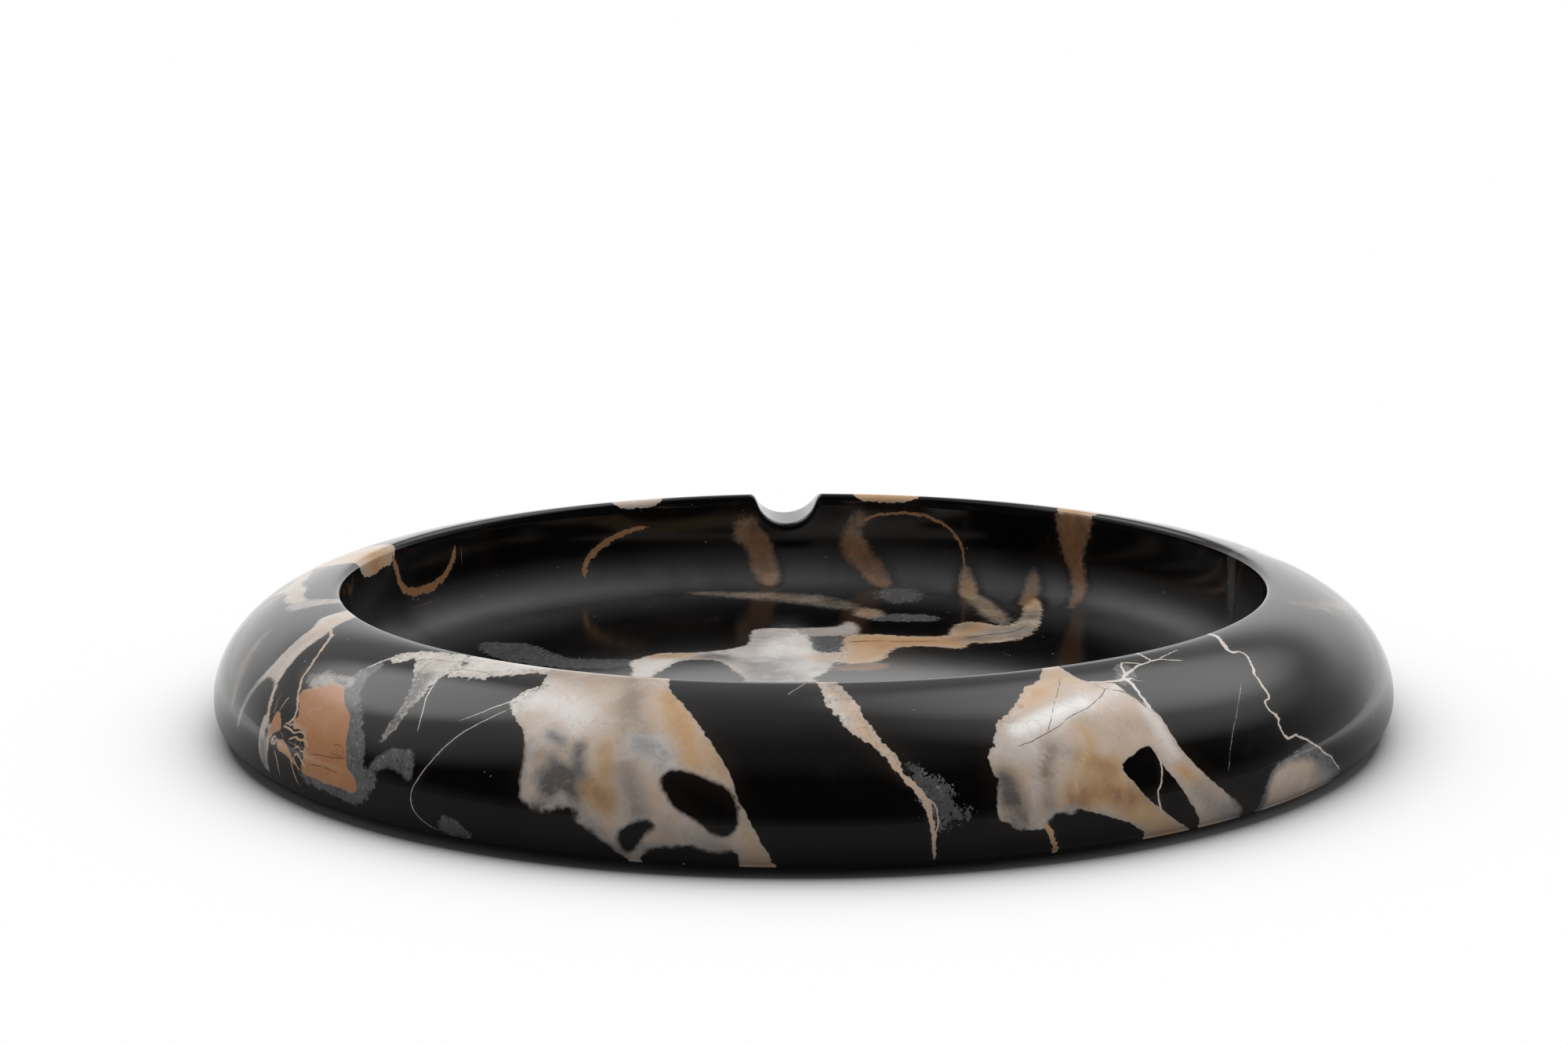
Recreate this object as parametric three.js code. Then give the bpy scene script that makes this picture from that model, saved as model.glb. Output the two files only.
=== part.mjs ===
// A round ashtray turned from one block of polished black marble. It has a domed rim, an upright bowl
// wall with a cove at its foot, a flat bowl floor and one half-round cigarette rest cut through the rim.
// Four self-adhesive felt pads under the base lift it off the table.
// Millimetres, +Z up, table at z = 0, the bowl's axis on the Z axis, the cigarette rest on the +Y side.

import * as THREE from "three";

// Stone body.
const OUTER_DIAMETER = 200; // across the widest line of the rim
const BODY_HEIGHT = 22; // stone only, from the ground underside to the lip
const RIM_WIDTH = 21.5; // from the bowl wall to the widest line
const FLOOR_THICKNESS = 4.5; // stone under the bowl
const WIDEST_HEIGHT = 4.7; // widest line above the underside
const CREST_SET_IN = 1.5; // how far inside the bowl wall the dome's own crest would fall
const BASE_SET_IN = 2; // how far the lower edge lies inside the widest line
const BASE_CHAMFER = 0.4; // broken edge around the underside
const LIP_RADIUS = 1.2; // rounding between bowl wall and rim
const COVE_RADIUS = 6; // rounding between bowl wall and bowl floor

// Cigarette rest.
const REST_WIDTH = 12; // a cigarette is about 8 mm thick
const REST_DEPTH = 6; // below the lip
const REST_EDGE_BLEND = 2; // softness of the polished edges of the rest

// Self-adhesive pads: a felt disc on a thin disc of adhesive.
const PAD_COUNT = 4;
const PAD_TURN = 45; // degrees from +X to the first pad
const FELT_DIAMETER = 20;
const FELT_THICKNESS = 1.3;
const ADHESIVE_THICKNESS = 0.2;
const ADHESIVE_INSET = 0.4; // the adhesive stops this far inside the felt's edge
const PAD_EDGE_INSET = 8; // from the stone's lower edge in to the felt's edge

// Fineness of the faceted solids.
const ROUND_COLUMNS = 84; // columns of facets around the body outside the rest
const SIDE_POINTS = 5;
const DOME_POINTS = 17;
const LIP_POINTS = 4;
const COVE_POINTS = 6;
const PAD_SEGMENTS = 48;
// Columns across the rest, as shares of its half width. They run parallel to it.
const REST_COLUMN_SHARES = [0, 0.17, 0.34, 0.5, 0.66, 0.8, 0.9, 0.98, 1.07, 1.18, 1.32, 1.5, 1.85];

// Sizes that follow from the ones above.
const OUTER_RADIUS = OUTER_DIAMETER / 2;
const BOWL_RADIUS = OUTER_RADIUS - RIM_WIDTH;
const BASE_RADIUS = OUTER_RADIUS - BASE_SET_IN;
const DOME_CENTRE_RADIUS = BOWL_RADIUS - CREST_SET_IN;
const DOME_HALF_WIDTH = OUTER_RADIUS - DOME_CENTRE_RADIUS;
const LIP_EDGE_RADIUS = BOWL_RADIUS + LIP_RADIUS;
const DOME_LIP_SHARE = (LIP_EDGE_RADIUS - DOME_CENTRE_RADIUS) / DOME_HALF_WIDTH;
const DOME_HALF_HEIGHT = (BODY_HEIGHT - WIDEST_HEIGHT) / Math.sqrt(1 - DOME_LIP_SHARE ** 2);
const REST_RADIUS = REST_WIDTH / 2;
const PAD_THICKNESS = FELT_THICKNESS + ADHESIVE_THICKNESS;
const FELT_RADIUS = FELT_DIAMETER / 2;
const PAD_CIRCLE_RADIUS = BASE_RADIUS - PAD_EDGE_INSET - FELT_RADIUS;

// Height of the plain dome over a point of the rim.
function domeHeight(radius) {
  const share = (radius - DOME_CENTRE_RADIUS) / DOME_HALF_WIDTH;
  return WIDEST_HEIGHT + DOME_HALF_HEIGHT * Math.sqrt(Math.max(0, 1 - share ** 2));
}

// Height of the rest's half-round channel at a distance from its middle plane. Near the top of the
// half circle the channel goes on along its tangent, so that its wall never stands upright.
function channelHeight(offset) {
  const onCircle = Math.min(Math.abs(offset), 0.94 * REST_RADIUS);
  const rise = Math.sqrt(REST_RADIUS ** 2 - onCircle ** 2);
  const slope = onCircle / rise;
  const bottom = BODY_HEIGHT - REST_DEPTH;
  return bottom + REST_RADIUS - rise + slope * (Math.abs(offset) - onCircle);
}

// The lower of two heights, blended over a short distance where they cross.
function softMinimum(first, second, blend) {
  const share = Math.min(Math.max(0.5 + (second - first) / (2 * blend), 0), 1);
  return second + (first - second) * share - blend * share * (1 - share);
}

// How far the rest lowers the rim at a point.
function restLowering(radius, offset) {
  const dome = domeHeight(Math.max(radius, LIP_EDGE_RADIUS));
  return dome - softMinimum(dome, channelHeight(offset), REST_EDGE_BLEND);
}

// The turned profile from the middle of the underside, around the outside and the lip, to the middle of
// the bowl floor. A point that sinks is lowered where the rest crosses it.
function bodyProfile() {
  const points = [];
  const put = (radius, height, sinks) => points.push({ radius, height, sinks });
  put(0, 0, false);
  put(BASE_RADIUS - BASE_CHAMFER, 0, false);
  const sideSweep = 0.375 * Math.PI;
  for (let i = 0; i < SIDE_POINTS; i += 1) {
    const angle = sideSweep * (1 - i / SIDE_POINTS);
    const inward = (1 - Math.cos(angle)) / (1 - Math.cos(sideSweep));
    const down = Math.sin(angle) / Math.sin(sideSweep);
    put(OUTER_RADIUS - BASE_SET_IN * inward, WIDEST_HEIGHT - (WIDEST_HEIGHT - BASE_CHAMFER) * down, false);
  }
  put(OUTER_RADIUS, WIDEST_HEIGHT, false);
  const domeStart = Math.asin(DOME_LIP_SHARE);
  for (let i = 1; i <= DOME_POINTS; i += 1) {
    const angle = Math.PI / 2 + (domeStart - Math.PI / 2) * (i / DOME_POINTS);
    const radius = DOME_CENTRE_RADIUS + DOME_HALF_WIDTH * Math.sin(angle);
    put(radius, domeHeight(radius), true);
  }
  for (let i = 1; i <= LIP_POINTS; i += 1) {
    const angle = (Math.PI / 2) * (i / LIP_POINTS);
    const inward = LIP_RADIUS * Math.sin(angle);
    const down = LIP_RADIUS * (1 - Math.cos(angle));
    put(LIP_EDGE_RADIUS - inward, domeHeight(LIP_EDGE_RADIUS) - down, true);
  }
  for (let i = 0; i <= COVE_POINTS; i += 1) {
    const angle = (Math.PI / 2) * (i / COVE_POINTS);
    const inward = COVE_RADIUS * (1 - Math.cos(angle));
    const up = COVE_RADIUS * (1 - Math.sin(angle));
    put(BOWL_RADIUS - inward, FLOOR_THICKNESS + up, false);
  }
  put(0, FLOOR_THICKNESS, false);
  return points;
}

// Columns of facets, anticlockwise from the +X side of the rest. Those across the rest keep one distance
// from its middle plane, so that its walls follow whole columns. The others are radial.
function bodyColumns() {
  const offsets = REST_COLUMN_SHARES.map((share) => share * REST_RADIUS);
  const columns = [];
  for (const offset of offsets.slice().reverse()) {
    columns.push({ offset });
  }
  for (const offset of offsets.slice(1)) {
    columns.push({ offset: -offset });
  }
  const reach = Math.asin(offsets[offsets.length - 1] / BOWL_RADIUS);
  const step = (2 * Math.PI - 2 * reach) / (ROUND_COLUMNS + 1);
  for (let i = 1; i <= ROUND_COLUMNS; i += 1) {
    columns.push({ angle: Math.PI / 2 + reach + step * i });
  }
  return columns;
}

// Where a profile point lies in a column.
function placedPoint(point, column) {
  const { radius } = point;
  if (column.angle !== undefined) {
    return [radius * Math.cos(column.angle), radius * Math.sin(column.angle), point.height];
  }
  if (radius === 0) {
    return [0, 0, point.height];
  }
  const along = Math.sqrt(radius ** 2 - column.offset ** 2);
  const lowering = point.sinks ? restLowering(radius, column.offset) : 0;
  return [column.offset, along, point.height - lowering];
}

// The body is turned as a lathe shape, then its columns are set out around the rest and the rim is
// lowered into the half-round channel.
function bodyGeometry() {
  const profile = bodyProfile();
  const columns = bodyColumns();
  const outline = profile.map((point) => new THREE.Vector2(point.radius, point.height));
  const geometry = new THREE.LatheGeometry(outline, columns.length);
  const position = geometry.getAttribute("position");
  for (let c = 0; c <= columns.length; c += 1) {
    for (let p = 0; p < profile.length; p += 1) {
      const [x, y, z] = placedPoint(profile[p], columns[c % columns.length]);
      position.setXYZ(c * profile.length + p, x, y, z + PAD_THICKNESS);
    }
  }
  geometry.computeVertexNormals();
  return geometry;
}

// A round disc lying between two heights, with its middle on the pad circle.
function discGeometry(radius, bottom, thickness, turn) {
  const geometry = new THREE.CylinderGeometry(radius, radius, thickness, PAD_SEGMENTS);
  geometry.rotateX(Math.PI / 2);
  const x = PAD_CIRCLE_RADIUS * Math.cos(turn);
  const y = PAD_CIRCLE_RADIUS * Math.sin(turn);
  geometry.translate(x, y, bottom + thickness / 2);
  return geometry;
}

const marble = new THREE.MeshStandardMaterial({ color: 0x1b1a1d, roughness: 0.12, metalness: 0 });
const felt = new THREE.MeshStandardMaterial({ color: 0x232326, roughness: 0.95, metalness: 0 });
const adhesive = new THREE.MeshStandardMaterial({ color: 0xd8d0bb, roughness: 0.45, metalness: 0 });

const ashtray = new THREE.Group();
ashtray.name = "marble_ashtray";

function addPiece(name, geometry, material) {
  const mesh = new THREE.Mesh(geometry, material);
  mesh.name = name;
  ashtray.add(mesh);
}

addPiece("marble_body", bodyGeometry(), marble);

for (let i = 0; i < PAD_COUNT; i += 1) {
  const turn = THREE.MathUtils.degToRad(PAD_TURN + (360 / PAD_COUNT) * i);
  const feltDisc = discGeometry(FELT_RADIUS, 0, FELT_THICKNESS, turn);
  addPiece(`felt_pad_${i + 1}`, feltDisc, felt);
  const adhesiveRadius = FELT_RADIUS - ADHESIVE_INSET;
  const adhesiveDisc = discGeometry(adhesiveRadius, FELT_THICKNESS, ADHESIVE_THICKNESS, turn);
  addPiece(`adhesive_disc_${i + 1}`, adhesiveDisc, adhesive);
}

export default ashtray;
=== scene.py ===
"""The looks of the marble ashtray, laid out as a Blender add-on and run as a script.

The stone body is one fine turned mesh. Its pale patches and veins are drawn as outlines on the surface.
The mesh carries the distance to them, and the marble's nodes make stone of that distance.
"""

import math
from collections import namedtuple

import bpy
import numpy as np
from mathutils import Matrix, Vector


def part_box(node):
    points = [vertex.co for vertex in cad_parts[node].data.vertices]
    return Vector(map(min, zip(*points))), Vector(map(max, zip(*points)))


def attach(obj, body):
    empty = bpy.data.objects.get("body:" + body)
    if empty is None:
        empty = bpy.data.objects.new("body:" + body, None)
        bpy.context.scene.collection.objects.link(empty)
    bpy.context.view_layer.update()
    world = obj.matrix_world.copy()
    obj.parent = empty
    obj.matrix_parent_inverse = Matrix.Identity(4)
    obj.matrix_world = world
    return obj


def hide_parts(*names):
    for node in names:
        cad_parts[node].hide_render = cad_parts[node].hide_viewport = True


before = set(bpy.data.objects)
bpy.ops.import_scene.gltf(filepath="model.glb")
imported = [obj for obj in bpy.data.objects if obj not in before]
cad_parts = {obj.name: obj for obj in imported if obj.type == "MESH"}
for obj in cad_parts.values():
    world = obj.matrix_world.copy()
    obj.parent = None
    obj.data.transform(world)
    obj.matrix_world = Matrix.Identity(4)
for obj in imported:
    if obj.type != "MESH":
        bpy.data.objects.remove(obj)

bl_info = {
    "name": "Marble Ashtray",
    "version": (1, 0, 0),
    "blender": (4, 5, 0),
    "location": "3D View > Sidebar > Ashtray",
    "description": "Builds the veined stone body, its felt feet and a plain studio",
    "category": "Add Mesh",
}

BODY_NODE = "marble_body"
FELT_NODE = "felt_pad_"
ADHESIVE_NODE = "adhesive_disc_"
MM = 0.001
QUARTER_TURN = math.pi / 2

# Fineness of the stone's mesh: rows of each stretch of its outline, and columns round it.
UNDERSIDE_ROWS = 18
ARRIS_ROWS = 5
SIDE_ROWS = 8
DOME_ROWS = 36
LIP_ROWS = 7
WALL_ROWS = 12
COVE_ROWS = 10
FLOOR_ROWS = 46
REST_COLUMNS = 49
RIGHT_COLUMNS = 90
FRONT_COLUMNS = 350
LEFT_COLUMNS = 80
FRONT_RIGHT = 62  # degrees right of the front up to which the columns are closest
FRONT_LEFT = 76  # the same to the left
INNERMOST = 0.012  # radius of the ring nearest the axis, as a share of its disc

# Form of the stone, and of its mesh near the rest.
SIDE_SWEEP = 0.75 * QUARTER_TURN  # how far the side turns from the widest line to the lower edge
ROUND_SHARE = 0.94  # share of the rest's half width that is round; beyond it the walls run on straight
REST_REACH = 1.85  # the columns across the rest reach this many of its half widths to each side
PARALLEL_REACH = 0.95  # columns run parallel to the rest up to this many of its widths to each side

# Felt feet: fineness, and shares of a foot's radius or thickness.
FELT_COLUMNS = 96
FELT_UNDER_ROWS = 14
FELT_LOWER_EDGE_ROWS = 5
FELT_UPPER_EDGE_ROWS = 4
FELT_UNDER_FROM = 0.04
FELT_UNDER_TO = 0.94
FELT_WALL_SHARES = (0.5, 0.75)
FELT_TOP_SHARES = (0.7, 0.35, 0.04)
FRAYED_FROM = 0.9
# Waves round a foot's cut edge and over its underside, and how much each row shifts them.
FRAY_WAVES = (23, 41)
FRAY_SHIFTS = (1.7, 0.9)
PRESS_WAVES = (9, 5)
PRESS_SHIFTS = (2.1, 3.7)

# The photograph's frame, and the camera's other settings.
PHOTO_WIDTH = 2000  # pixels
SENSOR_WIDTH = 36  # millimetres
CLIP_START = 0.01
CLIP_END = 20

# Lamps: the direction they shine from in degrees, azimuth from the front and positive to the right, then
# their distance and size in metres. Their power is a property.
Lamp = namedtuple("Lamp", "name azimuth elevation distance size")
LAMPS = (
    Lamp("fill", 0, 76, 1.2, 0.9),
    Lamp("front", 0, 5, 1.2, 0.9),
    Lamp("top", 150, 74, 1.0, 0.6),
    Lamp("left", -72, 24, 1.2, 0.9),
    Lamp("right", 62, 32, 1.2, 0.9),
)
WHITE = (1.0, 1.0, 1.0, 1.0)
# Strength of the studio's own light, by where it comes from.
LIGHT_ALL_ROUND = 0.012
LIGHT_BEHIND = 0.42
LIGHT_ABOVE = 0.12
LIGHT_LOW_BEHIND = 0.6
LIGHT_LOW = 0.1
# Soft bright places of the studio: their direction, their half width where full and where gone, all in
# degrees, and their strength.
Glow = namedtuple("Glow", "azimuth elevation inner outer strength")
GLOWS = (
    Glow(-138, 44, 9, 20, 1.5),
    Glow(146, 47, 9, 23, 1.0),
    Glow(-106, 45, 8, 34, 0.5),
    Glow(118, 52, 8, 30, 0.65),
)

# How outlines become stone.
CHART_RADIUS = 100.0  # millimetres that the rim chart takes for its degrees
FAR = 9.0  # distances are kept up to this many millimetres
CORNER_CUT = 0.25  # share of a side that each cut corner takes
SHARD_POINTS = 5  # an outline with no more points than this is a shard, whose corners stay sharper
HOLE_SOFTNESS = 0.4  # millimetres over which the edge of a hole melts
STROKE_MARGIN = 3  # a stroke counts out to this many times its reach
VEIN_REACH = 3.0  # a vein is drawn only this near its line, in millimetres
VEIN_FADE = 0.5  # share of that reach over which it gets thinner
VEIN_TIP = 0.06  # share of a vein's length over which each end gets thinner
# Columns of the field of patches, then the values of the fields far from every patch and every vein.
DEPTH, RAGGED, TONE, STRENGTH, SOFT = range(5)
NO_PATCH = (-FAR, 0.0, 0.5, 1.0, 0.12)
NO_VEIN = (FAR, 0.0, 0.5)

# Added roughness, and grey in the cove, by millimetres over the surface from the lip. Dust and painted
# sheen both make that grey, a lighter band along the cove. The cove and the bowl floor are harder to polish
# than the rim, and the underside is only ground flat.
DULLNESS = ((-95, 0.05), (-30, 0.05), (-21, 0.4), (-14, 0.4), (-9, 0.0), (33.5, 0.0), (35.5, 0.38))
DUST_AND_SHEEN = ((-40, 0.0), (-24, 0.35), (-19, 0.9), (-15, 0.7), (-10, 0.0))

# Patches and veins of the stone. A place on the rim is (degrees, millimetres): degrees round from the
# front, positive to the right, and millimetres over the surface from the lip, outward and down if positive,
# into the bowl if negative. A place on the bowl floor is (x, y) in millimetres, seen from above.
RIM = "rim"
FLOOR = "floor"

# Kind is pale or cloud. Ragged says how far its edge frays, in millimetres. Tone runs from 0, white, over
# beige and gold to 1, orange-brown; for a cloud it is the density. Strength below 1 lets the black through,
# and soft is how far its edge melts into the black, in millimetres.
Patch = namedtuple("Patch", "kind chart ragged tone points strength soft", defaults=(1.0, 0.1))
# A stroke of local colour inside a patch: its line, its reach in millimetres, its tone, how grey and how
# dark it is, and how much softer and more ragged it makes the patch's edge. Its darkness is the stone's own
# smudges, and on the lower parts of the front patches also painted shade.
Stroke = namedtuple("Stroke", "chart points reach tone grey shade soft ragged", defaults=4 * (0.0,))
# Start and end are half widths in millimetres. Lines that meet are kept in different layers.
Vein = namedtuple("Vein", "layer chart start end tone points")
VEIN_LAYERS = ("a", "b", "c")
CRACK_LAYERS = ("crack", "gap")

PATCHES = (
    # The left fork, and the ring that its right branch ends in.
    Patch("pale", RIM, 0.3, 0.3, (
        (-71, -4), (-70, 0), (-69.6, 4.6), (-67.4, 6), (-66.1, 9), (-65.1, 12), (-64.5, 15), (-64.4, 18),
        (-65.1, 23), (-65.2, 27), (-64.7, 27), (-64.3, 22), (-64, 19.6), (-63.6, 18.2), (-62.8, 17.5),
        (-61.6, 17.5), (-60.6, 18.6), (-60.2, 18.8), (-61, 16), (-62, 12), (-62.7, 8), (-63.2, 6),
        (-64.6, 4), (-66, 0), (-68, -4)), soft=0.3),
    Patch("pale", RIM, 0.3, 0.3, (
        (-59.5, 22.6), (-58.6, 22.8), (-57.7, 24), (-57.2, 26), (-57.2, 28.4), (-57.5, 29.6), (-57, 31.4),
        (-58.4, 30.6), (-59.2, 28.4), (-59.4, 26))),
    # The orange patch, its shards and its grey fringe.
    Patch("pale", RIM, 0.3, 1.0, (
        (-55.8, 17.3), (-54.5, 16.4), (-53, 15.2), (-51.8, 14.1), (-50.4, 14), (-49.7, 14.8), (-48.5, 16.8),
        (-47, 18), (-46.2, 19.5), (-45.5, 22), (-44.9, 24.5), (-44.6, 26.3), (-43.3, 27), (-43, 28.6),
        (-43.4, 29.6), (-45.3, 29.1), (-47.5, 29.3), (-49, 28.9), (-50.5, 29.2), (-51.2, 28.6),
        (-50.8, 26.5), (-51, 24.5), (-51.3, 23.2), (-52.5, 22.8), (-54, 22.9), (-55.2, 23), (-54.2, 22),
        (-53.6, 21), (-54.3, 19.7), (-55, 18.5)), soft=0.07),
    Patch("pale", RIM, 0.25, 0.97, (
        (-57.3, 20.8), (-55.2, 24), (-56.7, 24.6), (-57.2, 26.8), (-57.8, 24.4))),
    Patch("pale", RIM, 0.25, 0.9, (
        (-55.9, 25.2), (-54.2, 25.3), (-52.7, 27), (-50.6, 29.2), (-52.8, 27.7), (-54.2, 26.9),
        (-55.6, 26.8))),
    Patch("cloud", RIM, 0.6, 1.0, (
        (-57.2, 14.6), (-55.4, 13.6), (-54.6, 11.8), (-53.6, 12.8), (-52, 12.4), (-50.7, 12.4),
        (-50.4, 10.2), (-49.4, 7.6), (-48.4, 8), (-48.8, 11), (-47.6, 14.2), (-46.2, 16.4), (-44.8, 18),
        (-44, 20.4), (-43.2, 22), (-42.7, 24), (-42.4, 25.8), (-41.2, 25.4), (-40.5, 26.6), (-41.2, 28.2),
        (-42, 30), (-43.4, 31.6), (-45, 31.3), (-48, 30.3), (-51.2, 30.2), (-51.2, 27), (-49, 20),
        (-54, 17))),
    Patch("pale", RIM, 0.5, 0.2, (
        (-55.6, 14.9), (-54.4, 12.8), (-53, 13), (-51, 12.3), (-49.6, 12.2), (-49.2, 14.2), (-50.4, 13.6),
        (-51.6, 13.7), (-53, 14.8), (-54.8, 16.2)), strength=0.5, soft=0.5),
    # White along the lip, left of the front, and grey below it.
    Patch("pale", RIM, 0.75, 0.08, (
        (-48.9, 6.6), (-48.9, 5), (-48, 3.4), (-47, 2.2), (-45.6, 1.6), (-43, 0.6), (-40, 0), (-36, -2.4),
        (-28, -3), (-28, 2), (-29.2, 1.8), (-30.6, 2.2), (-31.6, 2.8), (-32.6, 3.8), (-33.6, 4.2),
        (-34.6, 5.4), (-35.6, 6.4), (-36.6, 6.9), (-37.4, 6.5), (-38.2, 6.8), (-39, 7.2), (-39.9, 6.8),
        (-40.1, 8.6), (-40, 12), (-40.2, 15), (-40.4, 18), (-40.8, 19.9), (-41.6, 21.4), (-41.3, 19),
        (-41, 17), (-41.2, 14.6), (-41.8, 12), (-42.4, 10), (-43.2, 8.4), (-44.2, 6.9), (-45.4, 5),
        (-46.2, 4.5), (-46.6, 5.4), (-47.2, 6.8), (-48.2, 6.4))),
    Patch("cloud", RIM, 0.35, 0.95, (
        (-42.4, 26.6), (-41.6, 24.4), (-40.8, 22.8), (-39.8, 21.6), (-38.4, 21.7), (-37.3, 21.2),
        (-36.9, 23.4), (-36.7, 26), (-38, 25.1), (-39, 24.4), (-40, 24.6), (-41, 25.5))),
    Patch("cloud", RIM, 0.6, 0.8, (
        (-34.2, 32.6), (-33.6, 30), (-32.6, 29.8), (-31.3, 31), (-30.6, 33), (-32.4, 33.6))),
    # The broad cream patch left of the front.
    Patch("pale", RIM, 0.3, 0.36, (
        (-25.4, -13), (-27, -9.4), (-27.2, -5), (-28.8, -2.6), (-29, 0), (-29.1, 2), (-29, 4.5),
        (-28.6, 5.9), (-29.4, 7.5), (-30.1, 9.5), (-30.3, 10.5), (-29.8, 12), (-29.2, 13), (-28.4, 14),
        (-27.5, 15.2), (-26.7, 17), (-26.3, 19), (-26.1, 21), (-26, 24), (-25.7, 26.2), (-24.5, 26.6),
        (-23.2, 27), (-22.4, 26.1), (-21.5, 25.8), (-20.7, 26.5), (-20.8, 28), (-19.8, 28.7), (-19, 29.6),
        (-18, 31), (-17.2, 32.5), (-16.6, 34), (-17, 42), (-15.4, 54), (-14.8, 46), (-15.7, 34),
        (-15.5, 32.4), (-14.7, 31.2), (-13.4, 30.8), (-11, 30.2), (-10.2, 31.1), (-9, 31.3), (-7.8, 30.6),
        (-7.4, 32), (-7.4, 36), (-9, 52), (-7.4, 72), (-6, 58), (-4.8, 46), (-4.4, 36), (-4.5, 34),
        (-5.2, 31), (-6.2, 28), (-7, 25.4), (-7.9, 22), (-8.3, 20), (-9.1, 18), (-10, 15.8), (-11.3, 12.6),
        (-12.7, 9.6), (-13.6, 7.4), (-14.6, 6), (-15.2, 4.5), (-15.7, 3.5), (-16, 1.5), (-16.3, 0),
        (-16.8, -3.6), (-18.6, -6), (-18.2, -10), (-20, -13.6), (-20.4, -19), (-22, -24), (-22.6, -18))),
    # The cream and pink patch right of the front, with two legs.
    Patch("pale", RIM, 0.25, 0.38, (
        (24.6, -6), (24, 0), (23, 1.6), (22.3, 3), (21.6, 4.4), (20.8, 4.9), (20, 5.1), (19.4, 6.2),
        (18.6, 7.6), (18.1, 8.4), (17.8, 9.6), (17, 10.6), (16, 11.6), (15.1, 12.7), (14.8, 14),
        (14.4, 15.2), (14.1, 16.8), (13.4, 18), (13.2, 19), (13.4, 20.2), (13.5, 21.5), (13.8, 22.4),
        (13.6, 23.8), (13.3, 26), (13.5, 27.3), (14.3, 28.2), (15.3, 29.1), (16.6, 29.5), (17.5, 29.3),
        (17.9, 28.1), (18.5, 27.3), (19.4, 27.7), (20, 27.1), (21, 27.4), (22.6, 28.4), (24.4, 29.6),
        (25.6, 30.6), (26.6, 31.8), (27.3, 33.2), (27.7, 36), (32, 48), (36, 68), (37.4, 60), (35, 46),
        (33, 36), (32.3, 34), (31, 32.4), (29.8, 31), (28.6, 29.4), (27.4, 27.9), (26.4, 26), (25.4, 23.6),
        (24.9, 22.1), (25.6, 21.3), (26.6, 20.5), (27.6, 19.7), (28.4, 19.7), (28.7, 20.6), (28.9, 22.2),
        (29.2, 23.6), (30, 25), (30.8, 27), (31.4, 28.8), (32.3, 30.6), (33, 32.6), (33.5, 35), (38, 42),
        (42, 54), (41, 44), (39.6, 38), (38.4, 34), (37.6, 31.8), (36.6, 30.4), (35.6, 29), (34.6, 27.4),
        (33.4, 25.6), (32.3, 23.6), (31.5, 21.5), (31.1, 19), (31.1, 17), (30.9, 15), (30.6, 13.4),
        (29.8, 12), (29.4, 10), (29.2, 7.2), (28, 6.8), (26.8, 6.3), (26, 5.3), (25.7, 3), (25.9, 0),
        (25.6, -6))),
    Patch("cloud", RIM, 0.6, 1.0, (
        (29.2, 8.2), (30, 6.2), (31, 3.6), (32.6, 1.8), (33.4, 3.4), (32.6, 5.6), (31.4, 8.2))),
    # The short band in front, and the grains below it.
    Patch("pale", RIM, 0.5, 0.42, (
        (-0.9, -4), (-0.9, 0), (-0.6, 3), (0, 7), (0.4, 9), (1.2, 11.5), (1.7, 13.3), (2.5, 14.3),
        (3.5, 15.3), (4.4, 17.5), (5.2, 19.5), (5.9, 19), (5.2, 17), (4.9, 16), (4, 14), (3.4, 12),
        (2.9, 9.5), (3, 8), (2.7, 6.5), (2, 4), (1.3, 1), (1, -4))),
    Patch("cloud", RIM, 1.3, 0.7, (
        (6.2, 18.4), (7.2, 19.6), (8.2, 21), (9.4, 22.4), (9.9, 24.2), (9.4, 25.5), (10.9, 25.4),
        (10.7, 26.9), (9.2, 27.9), (8.6, 29), (8.1, 27), (7.4, 24), (6.6, 22))),
    # Tan patch low on the right, set lighter in tone: partly painted light from the floor below.
    Patch("pale", RIM, 0.25, 0.38, (
        (40.9, 30.5), (41.2, 28.6), (42, 27.4), (43.4, 26.8), (45, 26.8), (47, 27.4), (48.6, 28.8),
        (50.4, 30.8), (52.4, 32.4), (54, 36), (52, 42), (49, 40), (45, 44), (43, 38),
        (41.4, 34)), soft=0.8),
    Patch("cloud", RIM, 0.35, 1.0, (
        (40.2, 31), (40.7, 28.2), (42, 26.5), (44.6, 25.8), (46.6, 25.3), (47.7, 24.8), (49.1, 26.6),
        (51.1, 29), (53.4, 31.7), (55, 36), (50, 41), (43, 39), (40.5, 35))),
    # Behind, on the rim.
    Patch("pale", RIM, 0.6, 0.5, (
        (-77.6, 5.4), (-80, 4.4), (-83, 5.4), (-86.4, 4.4), (-90, 6.4), (-95, 6.2), (-99, 7.4), (-103, 10),
        (-104, 12.4), (-99, 10.8), (-95.6, 9), (-92.4, 10.6), (-91, 13.6), (-89.8, 10), (-87, 8.2),
        (-83.4, 8.6), (-80.4, 7.2)), strength=0.85, soft=0.3),
    Patch("pale", RIM, 0.6, 0.2, (
        (-81, 7.8), (-77, 8.2), (-76.2, 5), (-75.2, 1.6), (-74.4, -1.4), (-76.6, -1.6), (-77.6, 1.2),
        (-79, 3.4), (-80.6, 5.2)), strength=0.55, soft=0.8),
    Patch("pale", RIM, 0.25, 0.5, (
        (-74.4, 11), (-72.2, 14.8), (-70.2, 17.6), (-68.8, 20.6), (-67.2, 26), (-69.6, 22.6), (-71.2, 20.2),
        (-72.2, 17.6), (-73.4, 14.8)), strength=0.3, soft=1.2),
    Patch("pale", RIM, 0.25, 0.3, (
        (71, 2.4), (72.8, 5.2), (75, 7.2), (78.8, 9.2), (80.4, 11.6), (85, 12.8), (88.4, 15.4), (96, 18),
        (89, 17.4), (85.6, 15.6), (81.6, 15.4), (78.4, 12.4), (75, 12), (72.8, 9.6),
        (71.4, 6.6)), strength=0.2, soft=1.8),
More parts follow.
